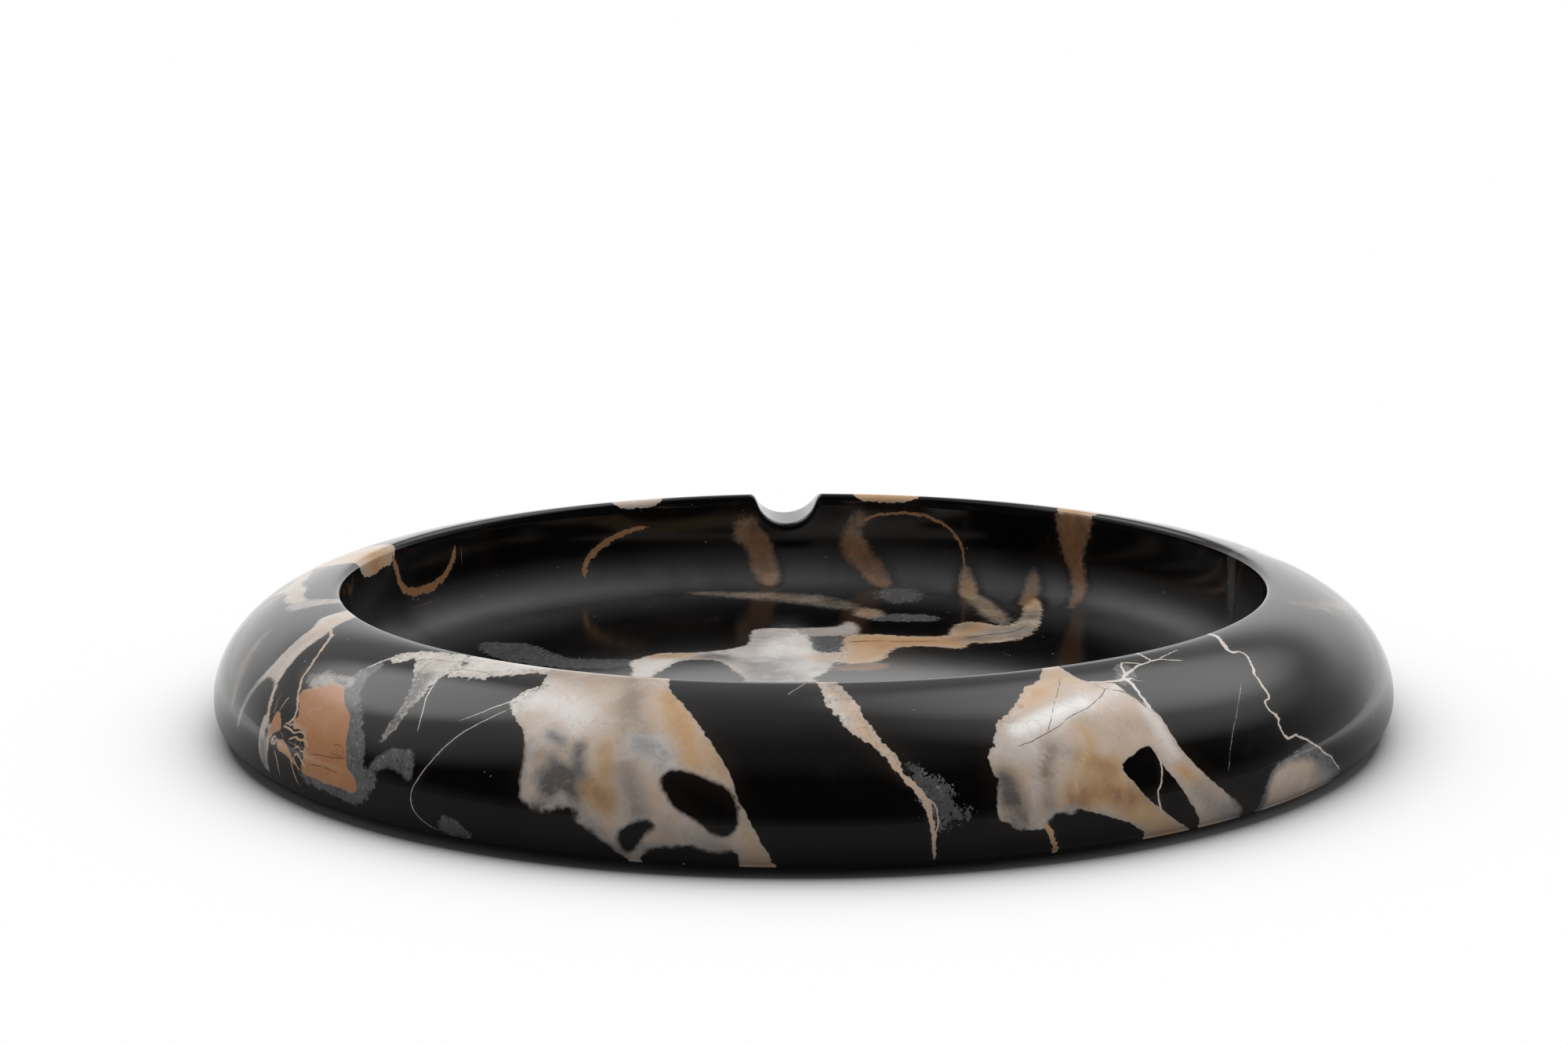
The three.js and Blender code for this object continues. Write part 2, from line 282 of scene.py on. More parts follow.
    Patch("pale", RIM, 0.4, 0.5, (
        (-100, -3.6), (-99, 1), (-99.6, 5), (-101.4, 8), (-101, 12), (-99, 15.6), (-97.6, 19),
        (-100.2, 21.6), (-101, 24.6), (-97.6, 24), (-95, 26), (-93.4, 29), (-90.6, 34), (-88.4, 44),
        (-87, 62), (-91, 54), (-95, 46), (-96.6, 36), (-98.6, 32), (-101, 30.4), (-103, 32), (-105.4, 30.4),
        (-107, 27), (-106.4, 23), (-108.4, 19), (-108, 14), (-110.4, 10), (-111, 5), (-112.6, 1),
        (-111, -4.4), (-109, -3.4), (-105, -4.6))),
    Patch("pale", RIM, 0.3, 0.9, (
        (-120.6, 8.6), (-119, 11), (-117.4, 13), (-117, 16.4), (-118, 19), (-118.4, 23), (-120.4, 21),
        (-122.2, 20), (-121.6, 16), (-122.4, 13), (-121.2, 11.6))),
    Patch("pale", RIM, 0.4, 0.4, ((-162, -2), (-154, -2), (-154.5, 2), (-157.5, 4.5), (-161.5, 3))),
    Patch("pale", RIM, 0.4, 0.72, ((161, -2), (170, -2), (170.5, 1.5), (167, 4), (163, 3.5), (160.5, 1.5))),
    Patch("pale", RIM, 0.4, 0.5, (
        (132.4, -2), (132, 2), (133, 6), (134.4, 10), (136.4, 14), (137.4, 19), (140, 23), (142, 28),
        (145, 34), (149, 46), (156, 64), (155, 52), (152.6, 42), (150, 34), (147.4, 29), (146.4, 24),
        (144, 19.6), (143.6, 15), (141.4, 10.4), (140.4, 5), (139.2, 2), (139, -2))),
    Patch("pale", RIM, 0.3, 0.38, (
        (99, 5), (101.5, 4.2), (104, 5.4), (107, 5), (109, 7), (111, 10), (112.4, 14), (114.4, 18),
        (116, 22), (118.6, 26), (121, 30), (122.6, 34), (125, 44), (127, 60), (123, 52), (119.6, 44),
        (117.4, 36), (115.8, 32), (113.6, 28.4), (111.8, 24.6), (109.6, 22), (107.4, 21), (106.6, 23),
        (108.4, 26.4), (109.6, 30), (111, 34), (111.4, 40), (112, 52), (109, 46), (106.6, 40),
        (105.4, 34.6), (103.4, 31), (101, 29.6), (99.6, 27.4), (97.6, 26.6), (96.6, 24), (97.4, 21),
        (96.2, 18), (97.4, 15), (96.6, 12), (98, 9))),
    Patch("pale", RIM, 0.3, 0.34, (
        (187, 12), (189.4, 9.6), (192, 10.4), (195, 8.2), (198.4, 9), (201, 8), (203.4, 10), (204, 13),
        (206.6, 15), (207.4, 18.6), (210, 22), (211.4, 26), (214.6, 30), (216, 34), (219, 42), (223, 58),
        (218, 54), (213, 46), (210.4, 36), (208.6, 32), (205.6, 29.6), (203, 30.4), (200.6, 28.4),
        (198, 29.4), (196.4, 27), (193.6, 27.6), (192, 25), (189.4, 24.4), (188, 21.4), (188.6, 18),
        (186.6, 15))),
    Patch("cloud", RIM, 0.8, 0.6, (
        (124, 9), (126.4, 8), (128.6, 12), (130, 17), (133, 22), (134.6, 28), (131, 29), (127.6, 24),
        (125.4, 18))),
    Patch("cloud", RIM, 0.8, 0.6, (
        (-141, 7), (-138.6, 6), (-137.6, 11), (-135.4, 16), (-133, 22), (-131, 28), (-134, 29.4),
        (-137, 24), (-139.4, 18), (-141.6, 12))),
    # Down the far wall of the bowl.
    Patch("pale", RIM, 0.9, 0.95, (
        (132.4, 0), (133.4, -5), (134.4, -10), (133, -15), (132.4, -22), (133.4, -23), (134.8, -16),
        (137, -11), (138.4, -6), (139, 0)), strength=0.42, soft=0.9),
    Patch("pale", RIM, 0.8, 0.95, (
        (167.6, -5), (169.6, -7), (168.4, -11), (166, -15), (163.4, -20), (165.4, -21.5), (169, -16),
        (172.4, -12), (171.6, -8), (170, -4)), strength=0.36, soft=1.2),
    Patch("pale", RIM, 0.8, 0.95, (
        (-177.6, -6), (-173, -5), (-172, -9), (-174.6, -11.5), (-175, -17), (-177.4, -22), (-179, -17),
        (-177.6, -11)), strength=0.36, soft=1.2),
    Patch("pale", RIM, 0.6, 0.85, (
        (142, -13), (143, -13), (143, -18), (141.4, -24), (139, -26),
        (139.8, -20)), strength=0.4, soft=1.0),
    Patch("pale", RIM, 0.6, 0.8, (
        (152.8, -14), (154, -14), (153.4, -19), (151, -25), (147.8, -27),
        (150, -20)), strength=0.55, soft=0.9),
    Patch("cloud", RIM, 0.6, 0.35, ((99, 1), (102, 1), (101.5, -12), (99.5, -14))),
    # On the bowl floor.
    Patch("pale", FLOOR, 0.55, 0.14, (
        (-7.4, 33.2), (-4, 33.8), (-1, 33.2), (1.6, 33), (2, 29), (2.3, 26), (2.2, 20), (2.4, 15),
        (4.6, 13), (7.6, 14.4), (7.6, 9), (5.2, 5.6), (3.6, 0), (1, -4), (2.4, -8.6), (5, -12), (6.4, -17),
        (10.4, -22.6), (8, -24.6), (4, -19), (-1, -17.4), (-3.6, -14), (-8, -14.6), (-10.8, -10.4),
        (-9, -4), (-11.4, 2.4), (-12.8, 7.6), (-16, 9.8), (-19.4, 9.4), (-21.4, 7.6), (-23, 3), (-25.6, -2),
        (-26.4, -9), (-28.6, -3), (-28.4, 3), (-29.6, 8), (-26.6, 12.6), (-23.6, 15.2), (-20, 14.4),
        (-15, 15.4), (-10, 18.2), (-8.2, 22), (-8.2, 29)), soft=0.4),
    Patch("pale", FLOOR, 0.4, 0.2, (
        (-1, 27), (5, 26.6), (10.4, 27), (11.6, 32), (11, 38), (9.4, 39), (8.4, 34.6), (4, 33.6),
        (-1, 33.6)), strength=0.7, soft=0.8),
    Patch("cloud", FLOOR, 0.6, 1.0, ((2, 27), (8.6, 27), (8.6, 14), (2, 14))),
    Patch("pale", FLOOR, 0.8, 0.8, (
        (8.2, 27.8), (14, 27.6), (20, 26), (26.6, 24.8), (28, 29), (29, 34), (31.6, 37.6), (34.6, 36.6),
        (37, 33.4), (40, 34.4), (42, 39), (43.6, 46), (45, 54), (46.4, 58), (47.4, 55), (47, 46),
        (45.2, 37), (43.6, 30), (41, 24), (37, 20.8), (33, 19.6), (30, 20.6), (29.6, 17.4), (28, 14.8),
        (25, 17.4), (20, 18.2), (16.6, 16.6), (15, 12.6), (13.6, 7.2), (10, 5), (6.6, 4.6), (4.6, 7.6),
        (7.4, 14)), soft=0.5),
    Patch("pale", FLOOR, 0.6, 1.0, ((4, 0), (13.8, 0.4), (14.4, 6), (6, 4.8)), strength=0.4, soft=0.8),
    Patch("pale", FLOOR, 0.8, 0.66, (
        (33.4, 63), (37, 61), (38.6, 52), (40, 40), (38.4, 34), (36, 40),
        (34.6, 52)), strength=0.45, soft=1.2),
    Patch("pale", FLOOR, 1.4, 0.44, (
        (-21, 67.6), (-12, 66.6), (-4, 65.8), (3, 64), (8, 60), (11, 55), (12.6, 50.4), (9, 49.6), (5, 54),
        (0, 57), (-6, 60), (-14, 63.6)), strength=0.3, soft=2.0),
    Patch("pale", FLOOR, 0.8, 0.72, (
        (12, 50.4), (15, 50.6), (17, 47), (16.6, 42), (13, 41.4), (11.6, 45)), strength=0.5, soft=1.2),
    Patch("cloud", FLOOR, 1.2, 0.8, ((14, 44.4), (20, 45), (27, 43), (26, 38.2), (19, 38.6), (14, 40))),
    Patch("cloud", FLOOR, 1.6, 0.7, ((17.4, 69), (25.6, 68), (25, 56), (18, 55))),
    Patch("cloud", FLOOR, 1.1, 0.62, (
        (-58, 26), (-50, 25), (-45, 20), (-42, 13), (-36, 10.6), (-28, 11), (-29, 5), (-38, 4), (-46, 7),
        (-54, 13))),
    Patch("pale", FLOOR, 0.5, 0.4, (
        (29, -17), (33, -21), (37.4, -22), (41, -27.4), (46.4, -28), (49, -33.6), (55, -35), (60, -41),
        (68, -46), (65, -51), (59.4, -47.4), (54, -48.4), (51, -44), (47.6, -45), (44, -41.6),
        (44.6, -37.6), (40.6, -35), (37, -36.4), (36.4, -31.6), (32, -29), (32.6, -24.4), (29.6, -21.6))),
)

# Dark stone that shows through a patch.
HOLES = (
    (
        (-14.1, 20.6), (-13.4, 19.8), (-12.4, 19.6), (-11.3, 20.1), (-10.2, 20.8), (-9, 21.4), (-8.3, 22.2),
        (-7.8, 23.4), (-7.4, 25), (-7.3, 27), (-7.7, 28.4), (-8.5, 29.1), (-9.4, 28.8), (-10.2, 27.8),
        (-11, 26.6), (-12.3, 25.8), (-13.2, 24.2), (-14, 22.2)),
    (
        (-17.5, 29.6), (-17, 28.5), (-16.2, 27.5), (-15, 26.8), (-14, 27.4), (-14.2, 28.5), (-15, 29.2),
        (-15.4, 30.4), (-16, 31.9), (-16.6, 32.6), (-17.2, 31.2)),
    ((-40.5, 2.7), (-39.6, 2.5), (-39.1, 3.6), (-40.1, 4)),
    ((-58.4, 24.2), (-57.7, 24.7), (-57.7, 26.3), (-58.3, 26.5)),
    (
        (192.6, 20.4), (194.4, 18.8), (196.6, 20), (199.4, 22), (201.4, 24.4), (204.4, 27), (207.6, 33),
        (204, 33), (200.4, 30.4), (199, 27), (196.6, 24.6), (195.4, 22.2)),
)

STROKES = (
    # The broad cream patch: white and pink at the top left, gold on the right, smudged at the lower left.
    # The lower strokes' shade is partly the stone's own smudges and partly painted shade, darker towards
    # the lower rim where less light falls.
    Stroke(RIM, ((-28, 1), (-20, 0)), 4, 0.46, grey=0.2, shade=0.24),
    Stroke(RIM, ((-28, 8), (-25, 9.6), (-22, 13)), 3.2, 0.1),
    Stroke(RIM, ((-19.4, 2), (-18.4, 9), (-16.6, 15)), 2.6, 0.5, grey=0.35, shade=0.34),
    Stroke(RIM, ((-15, 6), (-13.2, 12), (-11.4, 18)), 2.2, 0.76, shade=0.15),
    Stroke(RIM, ((-10.4, 16), (-8.6, 19.4)), 1.8, 0.66, shade=0.18),
    Stroke(RIM, ((-16.8, 15.6), (-14.4, 17), (-13.9, 18.8)), 1.7, 0.16, grey=1.0, shade=0.14),
    Stroke(RIM, ((-25.4, 19), (-22.6, 21)), 2.2, 0.4, grey=0.3, shade=0.26),
    Stroke(RIM, ((-24.7, 15.8), (-23.3, 16.8)), 1.0, 0.3, grey=0.9, shade=0.5),
    Stroke(RIM, ((-23.7, 19.4), (-23.3, 20.8)), 0.7, 0.3, grey=0.8, shade=0.5),
    Stroke(RIM, ((-21.5, 17.4), (-21.1, 20.6), (-20.6, 22)), 1.2, 0.3, grey=0.9, shade=0.6),
    Stroke(RIM, ((-24, 22.6), (-23.2, 25)), 1.5, 0.3, grey=0.9, shade=1.0, soft=0.2),
    Stroke(RIM, ((-22.2, 23.2), (-20.8, 24.4)), 1.3, 0.3, grey=0.9, shade=0.95, soft=0.2),
    Stroke(RIM, ((-22.8, 21.2), (-21.8, 22)), 1.1, 0.3, grey=0.9, shade=0.95),
    Stroke(RIM, ((-19.2, 17.6), (-18.6, 21)), 1.6, 0.66, grey=0.1, shade=0.16),
    Stroke(RIM, ((-20, 23.4), (-18.4, 24.6)), 2.0, 0.8, shade=0.3),
    Stroke(RIM, ((-17, 20), (-15.6, 26)), 1.9, 0.34, grey=0.5, shade=0.34),
    Stroke(RIM, ((-13, 28.6), (-9.6, 30)), 1.8, 0.42, grey=0.5, shade=0.2),
    Stroke(RIM, ((-8, 21.6), (-6.8, 27)), 1.2, 0.52, grey=0.3, shade=0.16),
    # The leg is set lighter than its smudged neighbours, partly painted light from the floor below.
    Stroke(RIM, ((-6.4, 29), (-5.6, 36)), 1.8, 0.5),
    Stroke(RIM, ((-26.3, 18), (-26, 25)), 1.2, 0.3, grey=0.6, shade=0.2, soft=0.35),
    Stroke(RIM, ((-25, 26.6), (-20.8, 27)), 1.4, 0.4, grey=0.6, shade=0.75, soft=0.6, ragged=0.3),
    Stroke(RIM, ((-20, 28.6), (-17.2, 32)), 1.4, 0.36, grey=0.7, shade=0.45, soft=0.5),
    Stroke(RIM, ((-15, 31.6), (-8.4, 31.2)), 1.2, 0.4, grey=0.6, shade=0.35, soft=0.45),
    Stroke(RIM, ((-28.6, 6), (-29.6, 11.6)), 1.5, 0.06, grey=0.6, ragged=0.9),
    # The cream and pink patch: gold along its ragged upper left, white over the middle, tan and grey below.
    # The white over the middle is whiter than the stone, partly painted highlight where the studio's sheen
    # lies.
    Stroke(RIM, ((24.8, -4), (24.4, 2), (22.8, 6.6)), 2.8, 0.5, ragged=0.1),
    Stroke(RIM, ((21, 6.6), (18.6, 9.4), (15.6, 13)), 2.1, 0.72, ragged=0.4),
    # These two white strokes are partly painted highlight, the sheen over the patch's middle.
    Stroke(RIM, ((24.4, 10.8), (19.4, 13), (16.4, 14.6)), 1.9, -0.14),
    Stroke(RIM, ((29, 8.8), (26, 10.4)), 1.8, 0.1),
    Stroke(RIM, ((14.4, 17), (17, 18.4)), 2, 0.18, grey=0.35, ragged=0.4),
    Stroke(RIM, ((23.6, 14.6), (26, 16), (29, 15.4)), 2.6, 0.42, shade=0.12),
    Stroke(RIM, ((22.7, 15.4), (23, 18)), 0.9, 0.66),
    Stroke(RIM, ((19.6, 17.6), (20.6, 19.4)), 1.2, 0.3, grey=0.6, shade=0.1),
    # Below, the strokes' shade is partly the stone's own grey and partly painted shade, darker towards the
    # lower rim.
    Stroke(RIM, ((14.2, 22.4), (15.2, 28)), 2.2, 0.5, grey=0.5, shade=0.8, soft=0.15, ragged=0.3),
    Stroke(RIM, ((19, 18), (18, 21), (18, 26)), 1.2, 0.5, grey=0.4, shade=0.5),
    Stroke(RIM, ((18.4, 18.6), (17.3, 21), (16.6, 24), (16.3, 27.6)), 0.45, 0.24, grey=0.2, shade=0.1),
    Stroke(RIM, ((20.4, 25.6), (23, 25), (26.4, 27.6)), 2.3, 0.92, shade=0.4),
    Stroke(RIM, ((21.8, 20.6), (24, 22.6)), 2.0, 0.8, shade=0.2),
    Stroke(RIM, ((22, 19.6), (20.6, 22.4), (20.3, 25)), 0.5, 0.56),
    # Set lighter, partly painted light from the floor below.
    Stroke(RIM, ((26.4, 29), (30, 33.6)), 2.2, 0.62),
    Stroke(RIM, ((30, 14), (30.2, 18), (30.6, 21.5)), 1.4, 0.14),
    Stroke(RIM, ((31, 24.2), (32.2, 26)), 1.2, 0.76),
    Stroke(RIM, ((32.6, 27.6), (35, 31)), 1.9, 0.4, grey=0.5, shade=0.2, soft=0.2),
    Stroke(RIM, ((36.4, 31.4), (38, 34)), 2, 0.36, grey=0.8, shade=0.5, soft=0.9),
    Stroke(RIM, ((18, 28.8), (20, 27.6)), 1.0, 0.3, grey=0.9, shade=0.4, soft=0.4, ragged=0.4),
    # The orange patch.
    Stroke(RIM, ((-54.2, 22.4), (-51.4, 23), (-51, 26)), 0.7, 0.78, ragged=0.4),
    Stroke(RIM, ((-46.4, 24), (-45.2, 25.6)), 1.0, 1.06, shade=0.1),
    # The front band and the tan patch low on the right.
    Stroke(RIM, ((0.6, 0), (2, 5)), 1.7, 0.56, grey=0.2, shade=0.34, ragged=0.2),
    Stroke(RIM, ((0.2, 6), (1.2, 11)), 1.0, 0.2, grey=0.6, shade=0.1, soft=0.2, ragged=0.6),
    Stroke(RIM, ((2.4, 8), (3.4, 14), (5.4, 19)), 1.2, 0.56, ragged=0.1),
    Stroke(RIM, ((49, 29), (53, 33)), 2.4, 0.4, grey=0.9, shade=0.2, soft=0.6),
    # The white lip and the left fork.
    Stroke(RIM, ((-42.2, 9.6), (-41, 14), (-41, 20)), 2.8, 0.14, grey=1.0, shade=0.9, soft=0.1),
    Stroke(RIM, ((-44, 3), (-42, 5)), 1.6, 0.24, grey=0.2),
    Stroke(RIM, ((-37, 6), (-33, 4)), 1.2, 0.1, grey=0.5, soft=0.1, ragged=0.5),
    Stroke(RIM, ((-67, 1), (-65, 6)), 3, 0.44),
    Stroke(RIM, ((-64.6, 20), (-65, 26)), 2.6, 0.3, grey=0.8, shade=0.4, soft=0.4),
    Stroke(RIM, ((-58.4, 27), (-58, 30)), 1.4, 0.3, grey=0.8, shade=0.5, soft=0.2),
    Stroke(RIM, ((-65, 10), (-63.6, 16.4)), 2.4, 0.3, grey=0.4, shade=0.14),
    # The patches behind.
    Stroke(RIM, ((100, 8), (106, 9)), 3, 0.04),
    Stroke(RIM, ((109, 10), (113, 18)), 2.4, 0.74, shade=0.06),
    Stroke(RIM, ((98, 18), (98.4, 25)), 2, 0.3, grey=0.6, shade=0.5, soft=0.2, ragged=0.3),
    Stroke(RIM, ((104.4, 26), (107, 28)), 2, 0.84, shade=0.2),
    Stroke(RIM, ((117, 28), (121, 36)), 2.6, 0.62, shade=0.1),
    Stroke(RIM, ((98, 6), (97, 13)), 1.6, 0.2, grey=0.4, ragged=0.7),
    Stroke(RIM, ((103, 14), (101.6, 18)), 1.4, 0.3, grey=0.9, shade=0.4),
    Stroke(RIM, ((136, -1), (136.6, 6)), 4, 0.86),
    Stroke(RIM, ((136, 12), (139, 20)), 2.2, 0.2, grey=0.3, shade=0.1, ragged=0.4),
    Stroke(RIM, ((144, 22), (148, 34)), 3, 0.66, grey=0.1, shade=0.1),
    Stroke(RIM, ((190, 13), (202, 12)), 2.6, 0.02),
    Stroke(RIM, ((189, 17), (192, 23)), 2.2, 0.72, shade=0.1),
    Stroke(RIM, ((197, 26), (204, 28)), 1.8, 0.4, grey=0.7, shade=0.5, soft=0.3, ragged=0.3),
    Stroke(RIM, ((209, 27), (214, 35)), 2.4, 0.68, shade=0.1),
    Stroke(RIM, ((202, 17), (202.6, 24)), 1.8, 0.3, grey=0.8, shade=0.3),
    Stroke(RIM, ((204, 11), (207.6, 18)), 1.4, 0.4, grey=0.3, ragged=0.6),
    Stroke(RIM, ((-106, -2), (-105.6, 5)), 4.4, 0.84),
    Stroke(RIM, ((-107, 12), (-106, 18)), 2.4, 0.12, grey=0.1),
    Stroke(RIM, ((-99, 18), (-97, 24)), 1.8, 0.74, shade=0.1),
    Stroke(RIM, ((-105, 26), (-102, 29)), 2, 0.4, grey=0.7, shade=0.6, soft=0.3, ragged=0.3),
    Stroke(RIM, ((-94, 28), (-91, 36)), 2.6, 0.62, grey=0.1, shade=0.1),
    Stroke(RIM, ((-104, 20.6), (-101.6, 22)), 1.6, 0.3, grey=0.9, shade=0.3),
    # The near wall and the near half of the bowl floor, which the photograph hides.
    Stroke(RIM, ((-27, -4), (-21, -5)), 3, 0.5, grey=0.2, shade=0.1),
    Stroke(RIM, ((-22, -9), (-21, -18)), 2.4, 0.76, shade=0.1),
    Stroke(FLOOR, ((-1, -9), (1.6, -6)), 2.4, 0.66, grey=0.1, shade=0.1),
    Stroke(FLOOR, ((-9, -11), (-6, -8)), 2.4, 0.7, shade=0.1),
    Stroke(FLOOR, ((48, -38), (64, -47)), 3.4, 0.76, shade=0.06),
    Stroke(FLOOR, ((35, -26), (42, -33)), 3, 0.3, grey=0.7, shade=0.3),
    # The bowl floor.
    Stroke(FLOOR, ((-17, 11), (-13, 11)), 4, 0.24, grey=0.6, shade=0.8),
    Stroke(FLOOR, ((-24, 13), (-20, 13)), 3, 0.8, shade=0.14),
    Stroke(FLOOR, ((-23.4, 8.4), (-25.6, 5)), 2.6, 0.1),
    Stroke(FLOOR, ((-4, 34), (-4, 23)), 6, 0.2, grey=0.4, shade=0.4),
    Stroke(FLOOR, ((-4, 17), (-6, 12)), 4.4, 0.12, grey=0.2, shade=0.1),
    Stroke(FLOOR, ((5, 8), (10, 9)), 3, 0.36),
    Stroke(FLOOR, ((41, 33), (45, 44)), 4, 0.62, grey=0.2, shade=0.6),
    Stroke(FLOOR, ((-4, -10), (-5, 6)), 6, 0.2, grey=0.9, shade=0.6),
    Stroke(FLOOR, ((30, 32), (32, 36)), 3, 0.66, shade=0.4),
    Stroke(FLOOR, ((32, 24), (40, 26)), 4, 0.6, grey=0.4, shade=0.5),
    Stroke(FLOOR, ((36, 29), (41, 31)), 2.4, 0.5, grey=0.9, shade=0.5),
    Stroke(FLOOR, ((10, 8), (11, 24)), 4, 0.72),
    Stroke(FLOOR, ((4, 10), (6, 12)), 3, 0.4),
)

